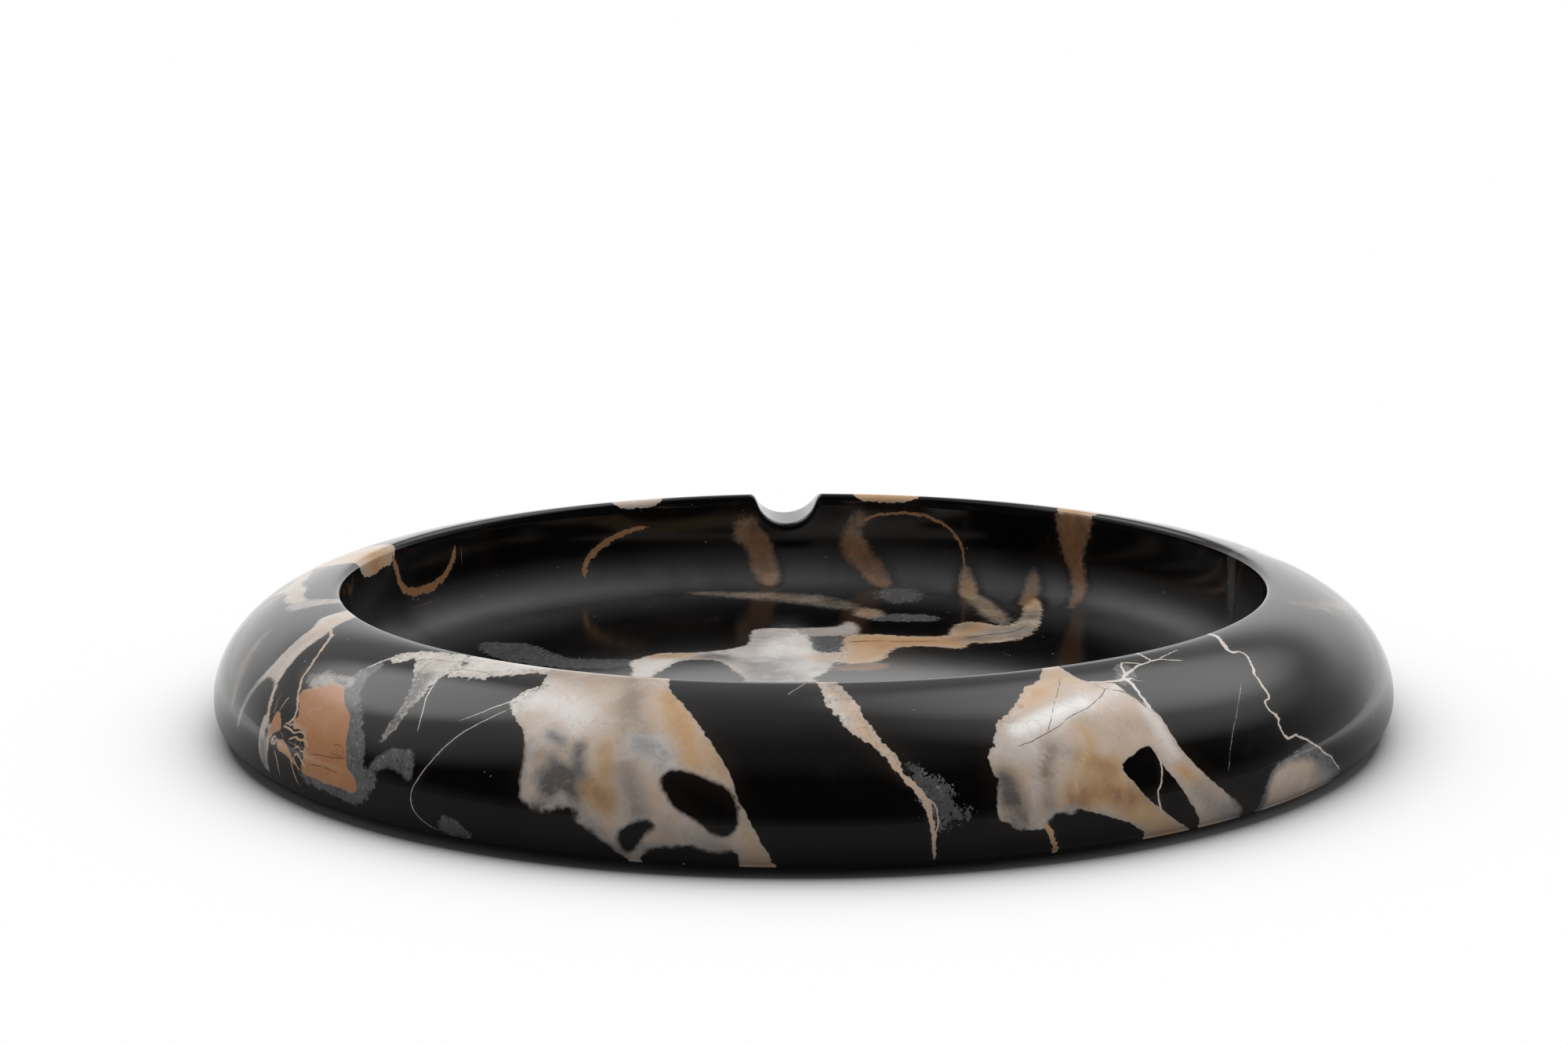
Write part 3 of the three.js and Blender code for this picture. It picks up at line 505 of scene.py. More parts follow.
VEINS = (
    # Thin branches of the left fork, and flecks left of the orange patch.
    Vein("a", RIM, 0.4, 0.5, 0.35, ((-60.6, 18), (-59.7, 20.4), (-59, 22.2), (-58.5, 23.4))),
    Vein("b", RIM, 0.32, 0.22, 0.5, (
        (-65, 4.8), (-62.5, 5.8), (-61, 6.8), (-59.8, 9), (-58.5, 11.5), (-57.3, 14), (-57.5, 15.3),
        (-56.3, 16.8), (-54.9, 19.2), (-54, 21), (-54.3, 22), (-55.2, 22.8))),
    Vein("c", RIM, 0.16, 0.12, 0.6, (
        (-55.4, 23.2), (-54, 23.2), (-53.2, 23.7), (-52.2, 22.9), (-51.1, 23.5))),
    Vein("a", RIM, 0.12, 0.2, 0.7, (
        (-53.8, 24.9), (-52.9, 24.1), (-51.9, 24.3), (-51.2, 23.8), (-50.4, 24.8))),
    Vein("b", RIM, 0.14, 0.1, 0.6, ((-52.6, 25.8), (-51.8, 25), (-51.4, 26), (-50.8, 25.4))),
    Vein("c", RIM, 0.14, 0.18, 0.6, ((-52.4, 26.8), (-51.7, 26.2), (-51.2, 27.2), (-50.5, 27.8))),
    Vein("c", RIM, 0.12, 0.1, 0.5, ((-57, 26.3), (-56.2, 24.9), (-55.7, 25.2), (-56, 26.3), (-56.8, 26.6))),
    Vein("a", RIM, 0.14, 0.1, 0.6, ((-55.9, 27.2), (-55.3, 28.6), (-55.1, 30.8))),
    Vein("c", RIM, 0.12, 0.14, 0.6, ((-53, 27.3), (-52.4, 29), (-51.9, 31))),
    Vein("a", RIM, 0.14, 0.05, 0.6, ((-57, 19), (-57.1, 21.6))),
    # Fine lines between the white lip and the cream patch.
    Vein("a", RIM, 0.12, 0.05, 0.1, ((-39.9, 9.6), (-39.5, 12), (-38.8, 14), (-38.2, 16.5), (-37.8, 18.4))),
    Vein("a", RIM, 0.055, 0.045, 0.0, (
        (-29.8, 12), (-30.5, 13), (-32, 15.5), (-33.5, 18), (-35, 22), (-36.2, 25.5), (-36.8, 28),
        (-36.5, 29.6), (-36, 30.7), (-35, 32), (-33.8, 32.9))),
    Vein("c", RIM, 0.1, 0.04, 0.1, ((-29.6, 9.8), (-31, 11.4), (-32.8, 14), (-34.2, 15.6))),
    Vein("b", RIM, 0.2, 0.25, 0.1, ((-50, 9.4), (-49.4, 7.4), (-48.7, 5.8))),
    # The lower run of the front band, and a faint line beside it.
    Vein("a", RIM, 0.5, 0.22, 0.5, (
        (4.8, 17.8), (5.5, 19.5), (6.3, 21.4), (7, 23), (7.6, 24.6), (7.9, 26.6), (8.05, 28.4),
        (8.15, 30.4), (8.3, 33.4))),
    Vein("b", RIM, 0.1, 0.1, 0.4, ((7.4, 23.6), (8.4, 25), (8.5, 27.4), (8.2, 29))),
    Vein("a", RIM, 0.06, 0.05, 0.3, ((-2, 0.3), (-3.8, 4.6))),
    # White network at the top of the right patch.
    Vein("b", RIM, 0.14, 0.3, 0.25, ((26.6, 6.2), (28, 6.7), (29.3, 7), (30.6, 6.8))),
    Vein("a", RIM, 0.26, 0.16, 0.2, ((30, 7.2), (31.2, 6.1), (31.7, 4.7), (32.3, 3.2), (33, 2.1))),
    Vein("c", RIM, 0.2, 0.12, 0.2, ((31.2, 6.2), (32.2, 5.3), (33, 4.6), (34.5, 3.9), (36.3, 3.4))),
    Vein("b", RIM, 0.16, 0.12, 0.15, ((33, 2.2), (33.9, 2.8), (34.8, 3.7))),
    Vein("a", RIM, 0.24, 0.3, 0.15, ((36.3, 3.6), (36.5, 2), (36.8, -3))),
    Vein("b", RIM, 0.18, 0.08, 0.15, ((36.2, 3.3), (37.7, 3.3), (38.6, 4.4), (39.8, 5.1))),
    Vein("c", RIM, 0.1, 0.05, 0.15, ((37.6, 3.2), (39.5, 2.5), (41.8, 1.9))),
    Vein("a", RIM, 0.3, 0.2, 0.12, ((30.7, 7), (30.9, 9), (30.6, 11), (30.5, 14))),
    Vein("b", RIM, 0.1, 0.14, 0.2, ((28.9, 21.8), (28.9, 23.6), (28.5, 25.4), (28, 26.8), (28.4, 29.4))),
    Vein("a", RIM, 0.4, 0.3, 0.75, ((17.3, 28.6), (18, 30), (18.3, 31.4), (18.8, 33.6), (19.2, 42))),
    # The long vein on the right and the crack beside it.
    Vein("a", RIM, 0.6, 0.4, 0.15, (
        (50, -8), (49.8, 0.3), (49.2, 2.2), (48.1, 3.6), (47.2, 5.4), (47, 6.4), (47.6, 6.9))),
    Vein("b", RIM, 0.24, 0.12, 0.2, (
        (47.2, 6.4), (48.3, 6.7), (48.2, 8.2), (47.3, 9.6), (46.8, 11), (45.9, 12), (45.7, 13.2),
        (45.2, 14.6), (45.2, 16.2), (44.7, 17), (43.9, 17.1), (43.8, 18.4), (44, 19.2), (44.6, 19.8),
        (44, 20.8), (44, 22.4), (44.4, 23.7), (45.8, 23.1), (46.3, 24), (47.2, 24.4), (47.9, 25.5),
        (49, 26.3), (49.4, 27.5), (50.9, 28.4), (51.6, 29.8), (53.6, 31.9))),
    Vein("c", RIM, 0.028, 0.028, 0.1, (
        (43.3, 12.5), (41.5, 14.8), (40, 17), (38.3, 19.5), (37, 22), (35.8, 26))),
    # The far wall of the bowl and the rim behind it.
    Vein("a", RIM, 0.35, 0.25, 1.2, (
        (153.4, -14), (154, -9), (156.6, -5.4), (161, -4), (165.4, -4), (169, -5.6))),
    Vein("a", RIM, 0.4, 0.8, 1.0, ((-159, -6), (-156, -6.6), (-152, -8.6), (-149.4, -11.4), (-149, -14.5))),
    Vein("a", RIM, 0.7, 0.9, 1.1, (
        (-126, -4), (-125.2, -8), (-122, -10.6), (-117, -11), (-113.4, -9.4), (-112.2, -6), (-111, -2.6))),
    Vein("a", RIM, 0.5, 0.25, 0.45, (
        (123, 0.8), (123.8, 4), (125, 8), (126.6, 13), (128.8, 18), (130.6, 24), (134, 29), (137, 35))),
    Vein("b", RIM, 0.2, 0.08, 0.2, ((126.4, 12), (123.6, 16), (121.8, 20.6), (118.6, 22.8))),
    Vein("c", RIM, 0.35, 0.3, 0.1, ((109, 5.4), (111.6, 3.4), (113, 1))),
    Vein("a", RIM, 0.25, 0.15, 0.1, ((104, 5), (103.4, 3), (101.6, 1.4))),
    Vein("b", RIM, 0.2, 0.06, 0.1, ((113, 1.6), (116, 2.4), (118.6, 4.6), (121, 5))),
    Vein("a", RIM, 0.45, 0.2, 0.3, (
        (168, 4), (166.4, 7.4), (166, 11), (164, 13.6), (162.8, 18), (162.6, 21), (159.6, 25), (158.4, 29),
        (157.6, 35))),
    Vein("b", RIM, 0.2, 0.1, 0.2, ((163, 17.4), (165.4, 20.6), (166.4, 25), (169.6, 29), (172, 35))),
    Vein("c", RIM, 0.3, 0.25, 0.1, ((199, 9), (200.4, 7), (201, 4.4))),
    Vein("b", RIM, 0.25, 0.08, 0.2, ((189, 14), (186, 10), (187, 6), (183.6, 2))),
    Vein("a", RIM, 0.5, 0.25, 0.45, (
        (-139.6, 0.8), (-138.6, 3), (-139.2, 6), (-137.2, 10), (-136.4, 15), (-134, 19), (-133.2, 24),
        (-130.4, 28), (-128, 35))),
    Vein("b", RIM, 0.25, 0.1, 0.3, (
        (-138.4, 9), (-142, 13), (-144.4, 18.6), (-148.6, 22), (-150.6, 28), (-155, 32))),
    Vein("a", RIM, 0.3, 0.15, 0.3, (
        (-119, 0.8), (-118.4, 5), (-120.6, 10), (-118, 16), (-119, 21), (-115.4, 27), (-114, 35))),
    Vein("a", RIM, 0.35, 0.25, 0.5, (
        (-88, 9), (-87.4, 13), (-85, 17), (-84.6, 22), (-82.4, 26), (-81.6, 30), (-79, 36))),
    # The near wall and the near half of the bowl floor, which the photograph hides.
    Vein("a", RIM, 0.9, 0.3, 0.4, (
        (0, -2), (-0.8, -5), (-0.4, -9), (-1.8, -13), (-1.2, -18), (-3.4, -24), (-3, -30), (-6, -38))),
    Vein("b", RIM, 0.8, 0.3, 0.5, (
        (25, -3), (25.6, -7), (24.6, -11), (26.4, -15), (27, -21), (30, -27), (31, -35))),
    Vein("a", RIM, 0.8, 0.3, 0.4, (
        (-69.5, -3), (-68.4, -8), (-69.6, -13), (-72, -18), (-72.6, -25), (-76, -32))),
    Vein("c", FLOOR, 0.7, 0.15, 0.4, (
        (-26, -4), (-28, -12), (-25.6, -19), (-31, -26), (-31, -34), (-40, -39), (-42, -48), (-52, -53))),
    Vein("b", FLOOR, 0.5, 0.15, 0.3, (
        (8, -21), (11, -26), (10.4, -32), (16, -38), (15.4, -45), (20.6, -51), (19.6, -60), (24, -69))),
    Vein("c", FLOOR, 0.25, 0.1, 0.2, (
        (31, -20), (28, -15.6), (23, -16.4), (19, -21), (14.6, -21.4), (11.6, -27))),
    # The ground underside.
    Vein("a", RIM, 0.5, 0.2, 0.4, ((-7.6, 66), (-4, 76), (-12, 84), (-6, 94), (-20, 104), (-30, 116))),
    Vein("b", RIM, 0.5, 0.2, 0.4, ((36, 62), (42, 74), (40, 84), (52, 92), (58, 104))),
    Vein("c", RIM, 0.5, 0.2, 0.3, ((155, 58), (162, 70), (158, 80), (170, 92), (172, 106))),
    Vein("a", RIM, 0.4, 0.2, 0.3, ((-87, 56), (-80, 68), (-84, 78), (-70, 88), (-66, 98))),
    # Dark cracks inside the orange patch and the right patch.
    Vein("crack", RIM, 0.05, 0.1, 0, ((-50, 25.7), (-48.4, 25.3), (-46.6, 25.2), (-45, 24.7))),
    Vein("crack", RIM, 0.05, 0.08, 0, ((-47, 23.3), (-46.2, 23), (-45.4, 23.5))),
    Vein("gap", RIM, 0.06, 0.05, 0, ((-49.6, 27.2), (-47.4, 26.8), (-45.6, 27.2))),
    Vein("crack", RIM, 0.09, 0.05, 0, (
        (27.9, 8), (26.8, 9.6), (25.4, 10.8), (24, 12.2), (22.2, 13), (20.8, 14.6), (19.4, 15.4),
        (17.8, 16.6), (15.8, 17.3))),
    Vein("gap", RIM, 0.05, 0.06, 0, ((24.2, 4), (22.6, 7.6), (21.2, 10.6), (20.2, 13.2), (19.2, 15.6))),
    Vein("gap", RIM, 0.2, 0.16, 0, ((28.4, 9), (29.2, 9.6), (29.8, 11), (30.2, 13.6))),
    Vein("crack", RIM, 0.07, 0.05, 0, ((26.8, 6.6), (27.3, 8.2), (28.4, 8.8))),
    Vein("crack", RIM, 0.1, 0.05, 0, ((-46, 5.6), (-44.6, 4), (-42.6, 3.4), (-40.8, 3))),
    Vein("gap", RIM, 0.08, 0.05, 0, ((-40.4, 5.8), (-38.4, 4.6), (-35.6, 4.4))),
    Vein("gap", FLOOR, 0.5, 0.2, 0, ((9, 21.6), (14, 22.6), (19, 21.4), (25, 22))),
    Vein("crack", FLOOR, 0.4, 0.2, 0, ((30, 24), (35, 27), (39, 28), (42, 33))),
    # Dark cracks in the patches behind.
    Vein("crack", RIM, 0.09, 0.05, 0, ((108, 8), (105.6, 10.6), (102.6, 12), (100.4, 14.6), (97.6, 16))),
    Vein("gap", RIM, 0.06, 0.05, 0, ((190, 20), (193, 17.6), (195.6, 13.4), (199, 11.6), (202.6, 11))),
    Vein("crack", RIM, 0.08, 0.05, 0, ((201, 15), (204.6, 17.6), (206, 20.6))),
    Vein("gap", RIM, 0.07, 0.05, 0, ((-109, 8), (-106.6, 10.4), (-105.6, 14), (-103, 20), (-103.4, 25))),
)


# Distances to the drawn outlines.
def rounded(points, closed):
    """The same outline with its corners cut, so that it bends like stone. A shard keeps sharper corners."""
    points = np.asarray(points, float)
    for _ in range(2 if len(points) > SHARD_POINTS else 1):
        after = np.roll(points, -1, 0) if closed else points[1:]
        before = points if closed else points[:-1]
        corner = CORNER_CUT * (after - before)
        cut = np.stack((before + corner, after - corner), 1).reshape(-1, 2)
        points = cut if closed else np.vstack((points[:1], cut, points[-1:]))
    return points


class Surface:
    """Every vertex of the body in the two charts that the outlines are drawn in."""

    def __init__(self, degrees, along, plan):
        self.degrees, self.along, self.plan = degrees, along, plan

    def near(self, chart, points, margin):
        """The vertices near an outline, where they are, and the outline, all in millimetres."""
        points = np.asarray(points, float)
        if chart == RIM:
            middle = points[:, 0].mean()
            degrees = (self.degrees - middle + 180) % 360 - 180
            places = np.stack((np.radians(degrees) * CHART_RADIUS, self.along), 1)
            points = np.stack((np.radians(points[:, 0] - middle) * CHART_RADIUS, points[:, 1]), 1)
        else:
            places = self.plan
        low, high = points.min(0) - margin, points.max(0) + margin
        chosen = np.flatnonzero(((places > low) & (places < high)).all(1))
        return chosen, places[chosen], points


def nearest(places, points, closed):
    """Distance of each place to an outline, the side it lies on, and how far along the outline."""
    ends = np.roll(points, -1, 0) if closed else points[1:]
    starts = points if closed else points[:-1]
    spans = np.hypot(*(ends - starts).T)
    travelled = np.concatenate(([0], np.cumsum(spans)))
    distance = np.full(len(places), np.inf)
    side = np.ones(len(places))
    share = np.zeros(len(places))
    for start, end, span, before in zip(starts, ends, spans, travelled):
        along, from_start = (end - start) / span, places - start
        on_line = np.clip(from_start @ along, 0, span)
        here = np.hypot(*(from_start - on_line[:, None] * along).T)
        closer = here < distance
        distance[closer] = here[closer]
        side[closer] = np.sign(along[0] * from_start[closer, 1] - along[1] * from_start[closer, 0])
        share[closer] = (before + on_line[closer]) / travelled[-1]
    return distance, side, share


def depth_inside(places, points):
    """Distance to a closed outline, positive inside it."""
    distance, _, _ = nearest(places, points, True)
    inside = np.zeros(len(places), bool)
    for (x0, y0), (x1, y1) in zip(points, np.roll(points, -1, 0)):
        if y0 == y1:
            continue
        spans = (y0 > places[:, 1]) != (y1 > places[:, 1])
        crossing = x0 + (places[:, 1] - y0) * (x1 - x0) / (y1 - y0)
        inside ^= spans & (places[:, 0] < crossing)
    return np.where(inside, distance, -distance)


def patch_field(surface, kind):
    """Per vertex: depth inside the patches of a kind, their raggedness, tone, strength and softness."""
    field = np.tile(NO_PATCH, (len(surface.along), 1))
    for patch in PATCHES:
        if patch.kind != kind:
            continue
        chosen, places, points = surface.near(patch.chart, patch.points, FAR)
        depth = np.clip(depth_inside(places, rounded(points, True)), -FAR, FAR)
        deeper = depth > field[chosen, DEPTH]
        field[chosen[deeper], DEPTH] = depth[deeper]
        field[chosen[deeper], RAGGED:] = (patch.ragged, patch.tone, patch.strength, patch.soft)
    return field


def cut_holes(surface, field):
    """Takes the holes out of the pale patches."""
    for hole in HOLES:
        chosen, places, points = surface.near(RIM, hole, FAR)
        depth = depth_inside(places, rounded(points, True))
        cut = -depth < field[chosen, DEPTH]
        field[chosen[cut], DEPTH] = -depth[cut]
        field[chosen[cut], SOFT] = HOLE_SOFTNESS


def add_strokes(surface, field):
    """Gives the patches the strokes' tone and edge. Returns, per vertex, how grey and how dark they are."""
    tints = np.zeros((len(field), 2))
    for stroke in STROKES:
        chosen, places, points = surface.near(stroke.chart, stroke.points, STROKE_MARGIN * stroke.reach)
        distance, _, _ = nearest(places, points, False)
        weight = np.exp(-((distance / stroke.reach) ** 2))
        field[chosen, RAGGED] += weight * stroke.ragged
        field[chosen, TONE] += weight * (stroke.tone - field[chosen, TONE])
        field[chosen, SOFT] += weight * stroke.soft
        tints[chosen] += weight[:, None] * ((stroke.grey, stroke.shade) - tints[chosen])
    return tints


def vein_field(surface, layer):
    """Per vertex: signed distance to the nearest vein of a layer, its half width there, and its tone."""
    field = np.tile(NO_VEIN, (len(surface.along), 1))
    for vein in VEINS:
        if vein.layer != layer:
            continue
        chosen, places, points = surface.near(vein.chart, vein.points, VEIN_REACH)
        distance, side, share = nearest(places, rounded(points, False), False)
        fade = np.clip((VEIN_REACH - distance) / (VEIN_FADE * VEIN_REACH), 0, 1)
        tip = np.sqrt(np.clip(np.minimum(share, 1 - share) / VEIN_TIP, 0, 1))
        width = (vein.start + (vein.end - vein.start) * share) * fade * tip
        found = np.stack((distance * side, width, np.full_like(width, vein.tone)), 1)
        closer = distance < np.abs(field[chosen, 0])
        field[chosen[closer]] = found[closer]
    return field


# Shader graphs.
class Field:
    """A number on its way through a shader graph, which adds and multiplies as numbers do."""

    def __init__(self, graph, socket):
        self.graph, self.socket = graph, socket

    def __add__(self, other):
        return self.graph.math("ADD", self, other)

    __radd__ = __add__

    def __sub__(self, other):
        return self.graph.math("SUBTRACT", self, other)

    def __rsub__(self, other):
        return self.graph.math("SUBTRACT", other, self)

    def __mul__(self, other):
        return self.graph.math("MULTIPLY", self, other)

    __rmul__ = __mul__

    def __truediv__(self, other):
        return self.graph.math("DIVIDE", self, other)

    def __neg__(self):
        return 0 - self

    def __abs__(self):
        return self.graph.math("ABSOLUTE", self)

    def most(self, other):
        return self.graph.math("MAXIMUM", self, other)

    def least(self, other):
        return self.graph.math("MINIMUM", self, other)

    def smooth(self, low, high):
        """0 at low, 1 at high, with an even curve between; low may be the greater."""
        return self.graph.number(
            "ShaderNodeMapRange", {"interpolation_type": "SMOOTHSTEP"},
            {"Value": self, "From Min": low, "From Max": high})


class Graph:
    """Builds one node tree."""

    NODE_STEP = 220  # between nodes in the editor
    COLUMN_NODES = 10  # nodes below one another in the editor
    # Sockets of the Mix node when it mixes colours.
    MIX_SHARE, MIX_FIRST, MIX_SECOND, MIX_RESULT = 0, 6, 7, 2

    def __init__(self, tree):
        self.tree = tree
        tree.nodes.clear()

    def node(self, kind, settings=None, sockets=None):
        """A node of a kind, with its settings and the values or fields of its input sockets."""
        made = self.tree.nodes.new(kind)
        across, down = divmod(len(self.tree.nodes), self.COLUMN_NODES)
        made.location = (self.NODE_STEP * across, -self.NODE_STEP * down)
        for name, value in (settings or {}).items():
            setattr(made, name, value)
        for name, value in (sockets or {}).items():
            if isinstance(value, Field):
                self.tree.links.new(value.socket, made.inputs[name])
            elif isinstance(value, bpy.types.NodeSocket):
                self.tree.links.new(value, made.inputs[name])
            else:
                made.inputs[name].default_value = value
        return made

    def number(self, kind, settings=None, sockets=None, output=0):
        return Field(self, self.node(kind, settings, sockets).outputs[output])

    def math(self, operation, *values):
        return self.number("ShaderNodeMath", {"operation": operation}, dict(enumerate(values)))

    def mix(self, share, first, second):
        """A colour between two colours."""
        sockets = {self.MIX_SHARE: share, self.MIX_FIRST: colour(first), self.MIX_SECOND: colour(second)}
        return self.node("ShaderNodeMix", {"data_type": "RGBA"}, sockets).outputs[self.MIX_RESULT]

    def vector(self, operation, *values, output=0):
        made = self.node("ShaderNodeVectorMath", {"operation": operation}, dict(enumerate(values)))
        return made.outputs[output]

    def scaled(self, vector, factor):
        sockets = {0: vector, "Scale": factor}
        return self.node("ShaderNodeVectorMath", {"operation": "SCALE"}, sockets).outputs[0]

    def parts(self, vector):
        """The three numbers of a vector."""
        split = self.node("ShaderNodeSeparateXYZ", None, {0: vector})
        return [Field(self, split.outputs[i]) for i in range(3)]

    def position(self):
        """Where the point is on the object, in millimetres."""
        return self.scaled(self.node("ShaderNodeTexCoord").outputs["Object"], 1 / MM)

    def noise(self, place, size, detail=3.0, rough=0.5, seed=0.0):
        """Cloudy noise about 0.5, with features of a size in millimetres."""
        return self.number(
            "ShaderNodeTexNoise", {"noise_dimensions": "4D"},
            {"Vector": place, "W": seed, "Scale": 1 / size, "Detail": detail, "Roughness": rough})

    def cells(self, place, size, feature="F1"):
        """Distance to the nearest of scattered points, or another feature of their cells."""
        sockets = {"Vector": place, "Scale": 1 / size}
        return self.number("ShaderNodeTexVoronoi", {"feature": feature}, sockets, "Distance")

    def attribute(self, name):
        """The three numbers of a vector attribute of the mesh."""
        return self.parts(self.node("ShaderNodeAttribute", {"attribute_name": name}).outputs["Vector"])

    def ramp(self, share, stops):
        """A colour from a row of (place, colour) stops."""
        made = self.node("ShaderNodeValToRGB", None, {0: share})
        elements = made.color_ramp.elements
        while len(elements) < len(stops):
            elements.new(1.0)
        for element, (place, paint) in zip(elements, stops):
            element.position, element.color = place, colour(paint)
        return made.outputs[0]

    def finish(self, shader):
        self.node("ShaderNodeOutputMaterial", None, {"Surface": shader.outputs[0]})

    def principled(self, sockets, height, strength, depth):
        """The end of a material: a Principled shader and a bump, whose depth is in millimetres."""
        relief = {"Strength": strength, "Distance": depth * MM, "Height": height}
        bump = self.node("ShaderNodeBump", None, relief)
        self.finish(self.node("ShaderNodeBsdfPrincipled", None, {**sockets, "Normal": bump.outputs[0]}))


def colour(value):
    """A colour for a socket: three numbers get an alpha, a socket stays."""
    return value if isinstance(value, bpy.types.NodeSocket) else (*value[:3], 1.0)


def new_material(name):
    material = bpy.data.materials.new(name)
    material.use_nodes = True
    return material, Graph(material.node_tree)


class Marble:
    """The stone's colours: noises that all of them share, and one method for each thing in the stone."""

    def __init__(self, graph, look):
        self.graph, self.look = graph, look
        self.place = graph.position()
        self.broad = graph.noise(self.place, 22, detail=4, rough=0.55)
        self.middle = graph.noise(self.place, 4.5, detail=5, rough=0.62, seed=3)
        self.fine = graph.noise(self.place, 1.3, detail=4, rough=0.6, seed=7)
        self.grain = graph.noise(self.place, 0.4, detail=2, seed=11)
        self.fray = (self.middle - 0.5) * 2.2 + (graph.cells(self.place, 1.1) - 0.42) * 1.3
        # Inside the patches the colours run along bent places.
        bend = graph.node("ShaderNodeTexNoise", None, {"Vector": self.place, "Scale": 0.16, "Detail": 3.0})
        self.flow = graph.vector("ADD", self.place, graph.scaled(bend.outputs["Color"], 7.0))
        self.swirl = graph.noise(self.flow, 5, detail=6, rough=0.66, seed=51)
        self.drift = graph.noise(self.flow, 7, detail=5, rough=0.62, seed=41)
        self.strength, self.dull, self.dust_and_sheen = graph.attribute("finish")

    def ground(self):
        """The black: brown in places, with faint grey veils and fine specks, and grey in the cove. Dust and
        painted sheen both make that grey.
        """
        graph, look = self.graph, self.look
        base = graph.mix(self.broad.smooth(0.42, 0.7), look.black, look.brown_black)
        veil = graph.noise(self.place, 11, detail=5, rough=0.6, seed=21).smooth(0.56, 0.74)
        base = graph.mix(veil * self.fine.smooth(0.35, 0.7) * 0.25, base, look.veil)
        speck = graph.cells(self.place, 2.6).smooth(0.07, 0.035)
        swarm = graph.noise(self.place, 9, seed=31).smooth(0.53, 0.64)
        base = graph.mix(speck * swarm * 0.6, base, look.white)
        return graph.mix(self.dust_and_sheen * self.broad.smooth(0.1, 0.6), base, look.dust_and_sheen)

    def add_clouds(self, base):
        """Grey granular clouds around the patches, and how dense they are."""
        graph, look = self.graph, self.look
        depth, ragged, density = graph.attribute("cloud")
        edge = depth + ragged * self.fray + ragged * ragged * (self.grain - 0.5) * 3
        cloud = edge.smooth(-0.3, 0.35) * density
        grains = graph.ramp(self.grain * 0.55 + self.fine * 0.45, (
            (0.36, look.cloud_dark), (0.46, look.cloud), (0.56, look.cloud), (0.68, look.grey)))
        return graph.mix(cloud, base, grains), cloud

    def add_patches(self, base, cloud):
        """Pale patches, and where they are. Their edge frays, melts into the black where it is soft, and
        tints the black beside it."""
        graph = self.graph
        depth, ragged, tone = graph.attribute("pale")
        grey, shade, soft = graph.attribute("tint")
        edge = depth + ragged * self.fray + ragged * ragged * (self.grain - 0.5) * 1.6
        beside = edge.smooth(-3.2, -0.2) * self.broad.smooth(0.35, 0.6) * (1 - cloud)
        base = graph.mix(beside, base, self.look.brown_edge)
        solid = (self.strength + (1 - self.strength) * (self.swirl - 0.5) * 1.4).most(0.0)
        patch = edge.smooth(-soft, soft) * solid
        tone = tone + (self.drift - 0.5) * 0.5 + (self.fine - 0.5) * 0.12
        pale = self.add_smudges_and_shade(self.pale_stone(tone, grey), edge, ragged, tone, shade)
        return graph.mix(patch, base, pale), patch

    def pale_stone(self, tone, grey):
        """White over beige and gold to orange, with grey and white that run through it."""
        graph, look = self.graph, self.look
        # Pearl, the white end, is partly painted highlight where the right patch's white strokes reach it.
        pale = graph.ramp(tone * 0.9 + 0.1, (
            (0.0, look.pearl), (0.14, look.white), (0.42, look.beige),
            (0.72, look.gold), (1.0, look.orange)))
        grey = grey * (0.45 + self.swirl.smooth(0.34, 0.58) * 0.7)
        pale = graph.mix(grey.most(self.swirl.smooth(0.58, 0.74) * 0.3).least(1.0), pale, look.grey)
        white = graph.noise(self.flow, 3.2, detail=5, rough=0.62, seed=61).smooth(0.5, 0.7)
        return graph.mix(white * (0.6 - tone).most(0.0), pale, look.white)

    def add_smudges_and_shade(self, pale, edge, ragged, tone, shade):
        """Crystals, dark smudges that are partly painted shade, a grey margin, stained threads and dark
        grains in a patch.
        """
        graph, look = self.graph, self.look
        # Ragged patches are sugary: grey and white crystals, the more the nearer their edge.
        sugar = ragged.smooth(0.3, 0.8) * edge.smooth(3.0, 0.2) * (1.1 - tone).most(0.0).least(0.8)
        crystals = graph.ramp(self.fine * 0.5 + self.grain * 0.5, (
            (0.36, look.shade), (0.45, look.grey), (0.5, look.ivory), (0.6, look.white)))
        pale = graph.mix(sugar, pale, crystals)
        lit = 1 - sugar * self.grain.smooth(0.46, 0.6) * 0.6
        smudge_and_shade = shade * (0.4 + self.drift.smooth(0.36, 0.58) * 0.9) * lit
        pale = graph.mix(smudge_and_shade.least(0.9), pale, look.shade)
        margin = edge.smooth(0.9, 0.1) * self.fine.smooth(0.36, 0.6) * (1.1 - tone).most(0.0).least(0.5)
        pale = graph.mix(margin, pale, look.grey)
        threads = graph.cells(self.flow, 7, "DISTANCE_TO_EDGE").smooth(0.04, 0.005)
        pale = graph.mix(threads * self.swirl.smooth(0.46, 0.6) * 0.3, pale, look.stain)
        return graph.mix(self.grain.smooth(0.58, 0.72) * 0.2, pale, look.shade)

    def add_cracks(self, base):
        """Dark cracks in the patches."""
        graph = self.graph
        for layer in CRACK_LAYERS:
            line, width, _ = graph.attribute("vein_" + layer)
            line = abs(line + (self.middle - 0.5) * 0.7 + (self.fine - 0.5) * 0.5)
            crack = line.smooth(width + 0.06, width * 0.4) * width.smooth(0.01, 0.05)
            base = graph.mix(crack * self.fine.smooth(0.34, 0.5) * 0.85, base, self.look.crack)
        return base

